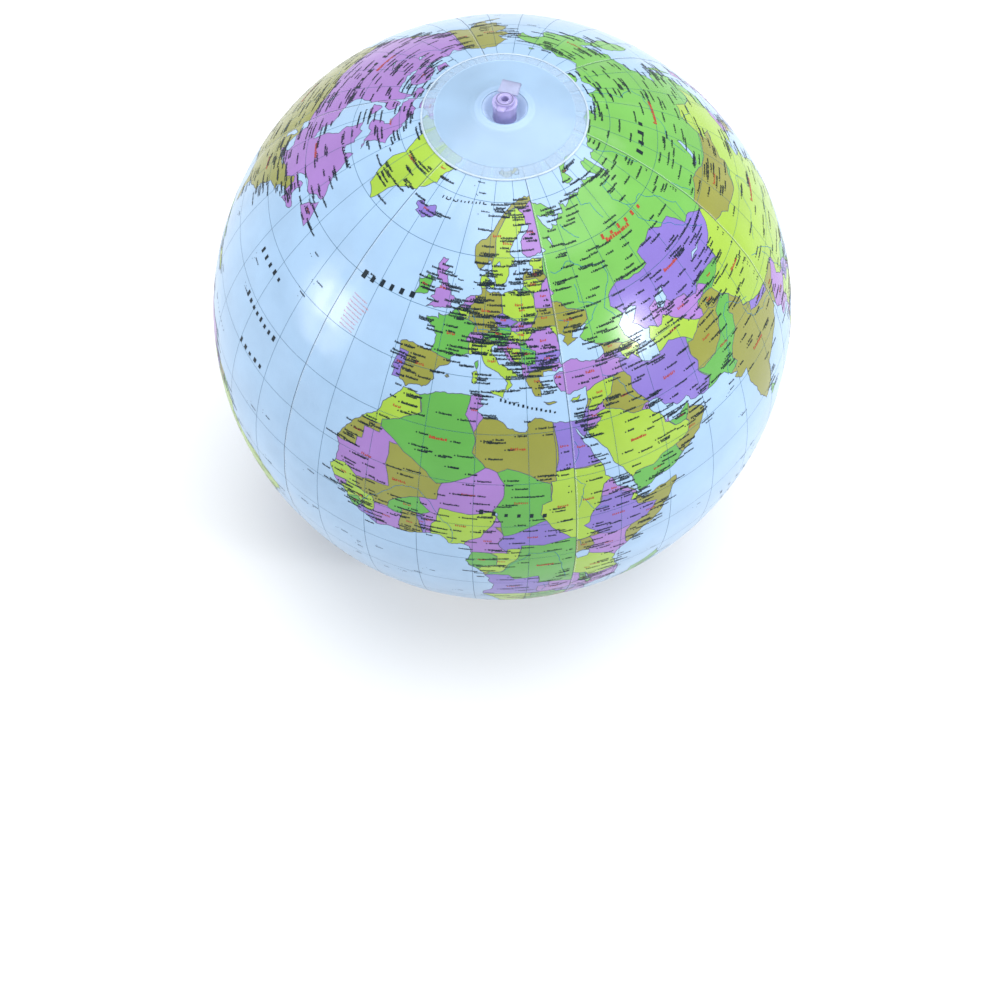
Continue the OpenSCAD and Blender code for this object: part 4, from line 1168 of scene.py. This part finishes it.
def build_labels():
    """All the printed names, greeked: rows of blocks and dots where a map has its lettering."""
    marks = Print(0.075 * MM)
    for middle, flat, tris, area, places in regions:
        for name in sorted(set(places) - {"sea"}):
            hit = places == name
            if area[hit].sum() > 0.8:
                label_region(marks, name, middle, flat, tris[hit], area[hit])
        label_coast(marks, middle, flat, tris, area, places)
    return marks.build("print_labels")


# Rows of blocks in place of the names of continents, oceans and seas: where each row starts and
# ends (longitude, latitude), how many blocks it has, their height in mm, and their ink.
BIG_WORDS = [
    (-57.8, 35.9, -45.4, 36.8, 5, 3.4, "black"), (-53.7, 28.1, -38.9, 27.9, 8, 3.4, "black"),
    (-49.5, 20.0, -39.4, 20.8, 5, 3.4, "black"), (-27.4, 49.3, -8.4, 50.7, 6, 4.0, "black"),
    (11.7, 13.1, 25.9, 11.6, 6, 3.2, "black"), (52.8, 58.7, 75.7, 58.9, 6, 2.6, "red"),
    (15.3, 36.0, 27.8, 33.0, 13, 1.6, "black"), (-16.2, 67.6, 6.8, 68.7, 12, 1.4, "black"),
    (12, 74.2, 40, 74.0, 10, 1.3, "black"), (94, 62.5, 114, 63, 4, 3.6, "black"),
    (64, -7, 80, -8, 6, 2.6, "black"), (66, -12, 78, -13, 5, 2.6, "black"),
    (-26, -20, -16, -21, 5, 2.6, "black"), (-27, -27, -12, -28, 8, 2.6, "black"),
    (122, -24.5, 142, -25, 9, 2.8, "black"), (156, 30, 172, 29, 7, 2.6, "black"),
    (-168, 34, -156, 33, 5, 2.6, "black"), (-146, 22, -132, 21, 7, 2.6, "black"),
    (-142, -28, -128, -29, 7, 2.6, "black"), (-118, 56, -96, 57, 5, 3.4, "black"),
    (-67, -11, -50, -12, 7, 3.0, "black"), (-72, 58, -58, 59, 8, 1.5, "black"),
    (-66, 14.8, -56, 14.5, 9, 1.4, "black"),
]


def build_big_words():
    """The rows of BIG_WORDS, and the faint rows that stand for a small list in the ocean."""
    marks = Print(0.08 * MM)
    for lon, lat, end_lon, end_lat, count, height, ink in BIG_WORDS:
        step = (end_lon - lon) / count * math.cos(math.radians(lat)) * ARC_R * math.pi / 180
        spread = step / (LETTER_STEP * height * MM)
        slope = (end_lat - lat) / (end_lon - lon)
        word(marks, lon, lat, count, height * MM, ink, spread, slope)
    for k in range(LIST_ROWS):
        start = -26.8 + chance.uniform(0, 0.6)
        word(marks, start, 46.3 - k * 0.72, int(chance.integers(20, 28)), 0.75 * MM, "faint", 0.8, -0.08)
    return marks.build("print_big_words")


def build_sea_marks():
    """Islands too small to draw, strewn over the oceans: a few dots and a row of blocks for each."""
    marks = Print(0.075 * MM)
    for middle, flat, tris, area, places in regions:
        sea = places == "sea"
        centres, shares = flat[tris[sea]].mean(axis=1), area[sea] / area[sea].sum()
        for pick in chance.choice(len(shares), 34, p=shares):
            u, v = centres[pick]
            if abs(u) > HALF_GORE - 3 or abs(v) > GORE_END_LAT - 3:
                continue
            for k in range(int(chance.integers(1, 5))):
                dot(marks, middle + u + chance.uniform(-1, 1), v + chance.uniform(-1, 1), 0.5 * MM)
            letters = int(chance.integers(5, 11))
            word(marks, middle + u + 0.6, v, letters, 0.8 * MM, "black", 0.85)
    return marks.build("print_sea_marks")


for built in (build_graticule(), build_seams(), build_labels(), build_big_words(), build_sea_marks()):
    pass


# ---------------------------------------------------------------- polar caps
RING_RADII = [37.3 * MM, 36.3 * MM, 35.3 * MM, 34.2 * MM, 33.0 * MM]    # fine weld rings by the rim
FLANGE_MARK_R = 16 * MM              # where the cap rises a little over the edge of the flange


def over_skin(r, d, north=True):
    """A point at radius r, d metres outside the smooth skin, on either half of the ball."""
    z = math.sqrt(ARC_R ** 2 - (r + ARC_X) ** 2)
    lean = (r + ARC_X) / ARC_R
    return (r + d * lean, CENTRE_Z + (z + d * math.sqrt(1 - lean ** 2)) * (1 if north else -1))


def cap_pucker(r, a):
    """Fine folds round a cap's rim, where the gores gather under it."""
    near_rim = math.exp(-((CAP_R - r) / (7 * MM)) ** 2)
    return 0.12 * MM * near_rim * math.sin(a * 31 + 2 * math.sin(a * 5)) * math.sin(a * 9 + 1)


def build_cap(name, north, inner_radius):
    """A cap of clear film with a thick rim and fine weld rings inside it."""
    outside, under = [], []
    radii = sorted(set(np.linspace(inner_radius, CAP_R, 50)) | set(np.linspace(32 * MM, CAP_R, 60)))
    for r in radii:
        height = FILM + WELD_GAP
        for ring in RING_RADII:
            height += 0.16 * MM * math.exp(-((r - ring) / (0.28 * MM)) ** 2)
        height += 0.2 * MM * math.exp(-((r - CAP_R) / (0.45 * MM)) ** 2)
        height += 0.10 * MM * math.exp(-((r - FLANGE_MARK_R) / (1.0 * MM)) ** 2)
        outside.append(over_skin(r, height, north))
        under.append(over_skin(r, WELD_GAP, north))
    if not north:
        outside = [(r, max(z, 0.0)) for r, z in outside]
        under = [(r, max(z, FILM)) for r, z in under]
    cap = lathe(name, outside + under[::-1], [cap_material, lap_material], 240,
                cap_pucker if north else None)
    for face in cap.data.polygons:
        face.material_index = int(math.hypot(face.center.x, face.center.y) > GORE_END_R)
    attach(cap, "ball")
    return cap


cap_material = clear_pvc("cap_film_clear", (0.27, 0.41, 0.58), 0.62, 30, 0.3)
lap_material = clear_pvc("cap_lap_clear", (0.34, 0.47, 0.62), 0.38, 30, 0.25)
rim_material = clear_pvc("cap_rim_clear", (0.44, 0.54, 0.64), 0.6, 90, 0.2)
# The web and flange, the valve and the stopper glow: painted light that lightens them and the shaded well
# round the stem.
web_material = clear_pvc("valve_web_pvc", (0.34, 0.45, 0.63), 0.6, 160, 0.2, painted_glow=0.5)
valve_material = clear_pvc("valve_pvc_lilac", (0.34, 0.31, 0.57), 0.6, 160, 0.2, painted_glow=0.15)
strap_material = clear_pvc("tether_pvc_clear", (0.30, 0.33, 0.50), 0.5, 160, 0.4)
# Painted shade: a dark see-through material laid on the strap's fold where its shade falls.
painted_fold_shade = clear_pvc("tether_fold_painted_shade", (0.08, 0.08, 0.20), 0.8, 160, 0.45)
stopper_material = clear_pvc("stopper_pvc_lilac", (0.32, 0.29, 0.55), 0.65, 160, 0.2, painted_glow=0.05)
# Painted shade: a dark material for the ring laid on the stopper's head where the shade of its step falls.
head_ring_painted_shade = clear_pvc("stopper_head_painted_shade", (0.09, 0.09, 0.20), 0.8, 300)

# ---------------------------------------------------------------- valve
STEM_R = 5.6 * MM
SEAT_R = 3.5 * MM
PASSAGE_R = 3.0 * MM
STEM_END = stem_low.z
WELL_R = 10.5 * MM                   # inside of the flange, where the web starts
FLANGE_R = 14 * MM
FLAP_R = 4.8 * MM
HEAD_R = 4.4 * MM                    # the stopper's head
STRAP_THICK = 0.78 * MM
PAINTED_FOLD_SHADE_Y = 11.3 * MM             # from here outwards the strap is painted darker, a painted shade of its fold


def build_flange():
    """The welded flange under the cap, with a rounded lip round the well and two fine ribs."""
    top, bottom = flange_high.z, flange_low.z
    profile = [(WELL_R, bottom), (FLANGE_R, bottom), (FLANGE_R, top - 0.25 * MM),
               (12.9 * MM, top - 0.1 * MM), (12.4 * MM, top - 0.3 * MM), (11.8 * MM, top - 0.1 * MM),
               (11.0 * MM, top), (WELL_R, top - 0.1 * MM)]
    ring = lathe("valve_flange_ring", rounded(profile, 0.2 * MM), [web_material], 128)
    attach(ring, "ball")
    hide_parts("valve_flange")


def build_web():
    """The thin cone that folds the stem into the ball."""
    high, low = web_high.z, web_low.z
    outside, inside = [], []
    for k in range(25):
        t = k / 24
        r = (10.46 - 4.8 * t) * MM
        z = high - 0.3 * MM + (low + 0.3 * MM - high + 0.3 * MM) * smooth(np.array(t * 0.9 + 0.05)).item()
        bulge = 0.35 * MM * math.sin(math.pi * t)
        outside.append((r + bulge, z + 0.24 * MM))
        inside.append((r + bulge - 0.05 * MM, z - 0.24 * MM))
    web = lathe("valve_diaphragm_web", outside + inside[::-1], [web_material], 96)
    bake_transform(web)
    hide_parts("valve_diaphragm")


def build_stem():
    """The stem: bead round its mouth, seat, passage and a chamfered inner end."""
    profile = [(STEM_R - 0.5 * MM, STEM_END), (STEM_R, STEM_END + 0.8 * MM), (STEM_R, RIM_Z - 1.4 * MM),
               (5.88 * MM, RIM_Z - 1.2 * MM), (5.88 * MM, RIM_Z), (SEAT_R + 0.02 * MM, RIM_Z),
               (SEAT_R, RIM_Z - 6 * MM), (PASSAGE_R, RIM_Z - 6 * MM), (PASSAGE_R, STEM_END)]
    stem = lathe("valve_stem_tube", rounded(profile, 0.3 * MM), [valve_material], 96)
    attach(stem, "valve_stem")
    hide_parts("valve_stem")


def build_flap():
    """The check flap: a thin disc with a stiffer middle."""
    low, high = flap_low.z, flap_high.z
    profile = [(0, low), (FLAP_R, low), (FLAP_R, high), (2.6 * MM, high), (2.3 * MM, high - 0.04 * MM),
               (0, high)]
    disc = lathe("check_flap_disc", rounded(profile, 0.06 * MM, 2), [cap_material], 64)
    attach(disc, "check_flap")
    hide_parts("check_flap")


def build_stopper():
    """The stopper: a tapered nose, a dished head with a dark ring on it that is painted shade of its step,
    and a tab to pull it out by.
    """
    z = RIM_Z
    profile = [(0, z - 5.1 * MM), (1.9 * MM, z - 4.8 * MM), (2.5 * MM, z - 4 * MM),
               (2.88 * MM, z - 3 * MM),
               (3.12 * MM, z - 2 * MM), (3.3 * MM, z - 1 * MM), (3.42 * MM, z + 0.06 * MM),
               (HEAD_R, z + 0.06 * MM), (HEAD_R, z + 1.5 * MM),
               (4.1 * MM, z + 1.84 * MM), (3.2 * MM, z + 1.84 * MM),
               (3.0 * MM, z + 1.55 * MM), (2.3 * MM, z + 1.55 * MM), (2.1 * MM, z + 1.84 * MM),
               (1.72 * MM, z + 1.84 * MM), (1.6 * MM, z - 4.0 * MM), (0, z - 4.2 * MM)]
    plug = lathe("stopper_plug", rounded(profile, 0.22 * MM), [stopper_material], 96)
    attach(plug, "stopper")
    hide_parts("stopper")
    tab = strip("stopper_pull_tab", [(0, -3.9 * MM, z + 0.8 * MM), (0, -5.2 * MM, z + 0.85 * MM),
                                     (0, -6.6 * MM, z + 0.95 * MM), (0, -7.5 * MM, z + 1.0 * MM)],
                [3.6 * MM, 4.0 * MM, 3.8 * MM, 2.6 * MM], 0.8 * MM, stopper_material)
    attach(tab, "stopper")
    # A dark half-buried ring on the head: painted shade of the step round the dished top.
    ring = [((3.72 + 0.3 * math.cos(a)) * MM, z + (1.75 + 0.2 * math.sin(a)) * MM)
            for a in np.linspace(0, 2 * math.pi, 10, endpoint=False)]
    shade_ring = lathe("stopper_head_painted_shade_ring", ring, [head_ring_painted_shade], 72)
    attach(shade_ring, "stopper")


def strip(name, path, widths, thick, material):
    """A flat strap along a path in the plane x = 0, with rounded edges."""
    verts, faces = [], []
    ring = [(-0.5, -0.3), (-0.44, -0.5), (0.44, -0.5), (0.5, -0.3),
            (0.5, 0.3), (0.44, 0.5), (-0.44, 0.5), (-0.5, 0.3)]
    points = [Vector(p) for p in path]
    for k, here in enumerate(points):
        along = (points[min(k + 1, len(points) - 1)] - points[max(k - 1, 0)]).normalized()
        up = Vector((1, 0, 0)).cross(along)
        for x, y in ring:
            verts.append(here + Vector((x * widths[k], 0, 0)) + up * (y * thick))
    count = len(ring)
    for k in range(len(points) - 1):
        for m in range(count):
            n = (m + 1) % count
            faces.append((k * count + m, k * count + n, (k + 1) * count + n, (k + 1) * count + m))
    faces.append(tuple(range(count)))
    faces.append(tuple(len(verts) - 1 - m for m in range(count)))
    obj = new_object(name, verts, faces, [material])
    tidy_mesh(obj)
    return obj


def build_strap():
    """One soft strap from the stem's mouth, folded back over itself to the stopper's head, with painted
    shade on its fold.
    """
    low, high = RIM_Z - 0.4 * MM, RIM_Z + 1.2 * MM
    mid_z, radius = (low + high) / 2, (high - low) / 2
    path = [(0, y * MM, low) for y in np.linspace(5.3, 10.7, 10)]
    path += [(0, 10.9 * MM + radius * math.sin(a), mid_z - radius * math.cos(a))
             for a in np.linspace(0.15, math.pi - 0.15, 14)]
    path += [(0, y * MM, high) for y in np.linspace(10.7, 3.9, 12)]
    count = len(path)
    widths = []
    for k in range(count):
        near_end = min(k, count - 1 - k) / 6
        widths.append(root_high.x - root_low.x + 0.3 * MM * max(0, 1 - near_end))
    strap = strip("tether_strap", path, widths, STRAP_THICK, strap_material)
    # The faces round the fold get the painted shade.
    strap.data.materials.append(painted_fold_shade)
    for face in strap.data.polygons:
        face.material_index = 1 if face.center.y > PAINTED_FOLD_SHADE_Y else 0
    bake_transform(strap)
    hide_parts("tether_root", "tether_tip")


def build_rim(name, north):
    """The pale welded bead that runs round a cap's edge."""
    profile = []
    for k in range(14):
        a = 2 * math.pi * k / 14
        r = CAP_R - 0.35 * MM + 0.5 * MM * math.cos(a)
        profile.append(over_skin(r, (0.3 + 0.26 * math.sin(a)) * MM, north))
    rim = lathe(name, profile, [rim_material], 240)
    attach(rim, "ball")


north_film = build_cap("north_cap_film", True, WELL_R)
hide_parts("north_cap")
south_film = build_cap("south_cap_film", False, 0.0)
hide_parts("south_cap")
build_rim("north_cap_rim", True)
build_rim("south_cap_rim", False)
build_flange()
build_web()
build_stem()
build_flap()
build_stopper()
build_strap()

# ---------------------------------------------------------------- camera, light and floor
VIEW_AZIMUTH = 15.6                  # degrees, as are the elevation, the tilt and the roll
VIEW_ELEVATION = 53.3
CAMERA_DISTANCE = 7.2 * EQ_R
TILT_BELOW_CENTRE = 5.26
ROLL = 0.7
LENS = 73.7                          # millimetres
FLOOR = 12                           # from the middle of the floor to its sides
MIDDLE = (0, 0, 0.2)
# Lamps: where each stands, what it is aimed at, how wide it is in metres and its power in watts.
# Two groups of small ones make the bright reflections on either side of the ball.
LAMPS = {
    "overhead": ((0.45, 0.9, 4.2), (0, 0, 0.15), 5.5, 230),
    "left": ((-1.48, -0.87, 0.69), MIDDLE, 0.4, 4.5),
    "left_wide": ((-1.52, -0.90, 0.70), MIDDLE, 0.85, 10),
    "right": ((1.63, -0.56, 1.03), MIDDLE, 0.15, 8),
    "right_low": ((1.71, -0.60, 0.90), MIDDLE, 0.12, 3),
    "right_wide": ((1.72, -0.55, 1.0), MIDDLE, 0.65, 13),
}

camera_data = bpy.data.cameras.new("camera")
camera_data.lens = LENS
camera = bpy.data.objects.new("camera", camera_data)
bpy.context.scene.collection.objects.link(camera)
az, el = math.radians(VIEW_AZIMUTH), math.radians(VIEW_ELEVATION)
toward = Vector((math.sin(az) * math.cos(el), -math.cos(az) * math.cos(el), math.sin(el)))
pitch = math.radians(90 - VIEW_ELEVATION - TILT_BELOW_CENTRE)
roll = Matrix.Rotation(math.radians(ROLL), 4, "Z")
turn = Matrix.Rotation(az, 4, "Z") @ Matrix.Rotation(pitch, 4, "X") @ roll
camera.matrix_world = Matrix.Translation(Vector((0, 0, CENTRE_Z)) + toward * CAMERA_DISTANCE) @ turn
bpy.context.scene.camera = camera
bpy.context.scene.view_settings.view_transform = "Standard"

world = bpy.data.worlds.new("studio")
bpy.context.scene.world = world
world.use_nodes = True
sky = world.node_tree.nodes["Background"]
sky.inputs["Color"].default_value = (1, 1, 1, 1)
sky.inputs["Strength"].default_value = 1.05


def area_light(name, place, target, size, power):
    """A round lamp, size metres across, aimed at a target."""
    data = bpy.data.lights.new(name, "AREA")
    data.shape = "DISK"
    data.energy = power
    data.size = size
    light = bpy.data.objects.new(name, data)
    bpy.context.scene.collection.objects.link(light)
    light.location = place
    light.rotation_euler = (Vector(target) - Vector(place)).to_track_quat("-Z", "Y").to_euler()


for lamp, (place, target, size, power) in LAMPS.items():
    area_light(lamp, place, target, size, power)

floor_material, floor_tree, floor_shader = new_material("floor_paint")
floor_tone = tinted(floor_tree, noise(floor_tree, 3), (0.60, 0.62, 0.64), (0.63, 0.64, 0.65))
floor_tree.links.new(floor_tone, floor_shader.inputs["Base Color"])
floor_shader.inputs["Roughness"].default_value = 0.6
floor_corners = [(-FLOOR, -FLOOR, 0), (FLOOR, -FLOOR, 0), (FLOOR, FLOOR, 0), (-FLOOR, FLOOR, 0)]
floor = new_object("floor", floor_corners, [(0, 1, 2, 3)], [floor_material])
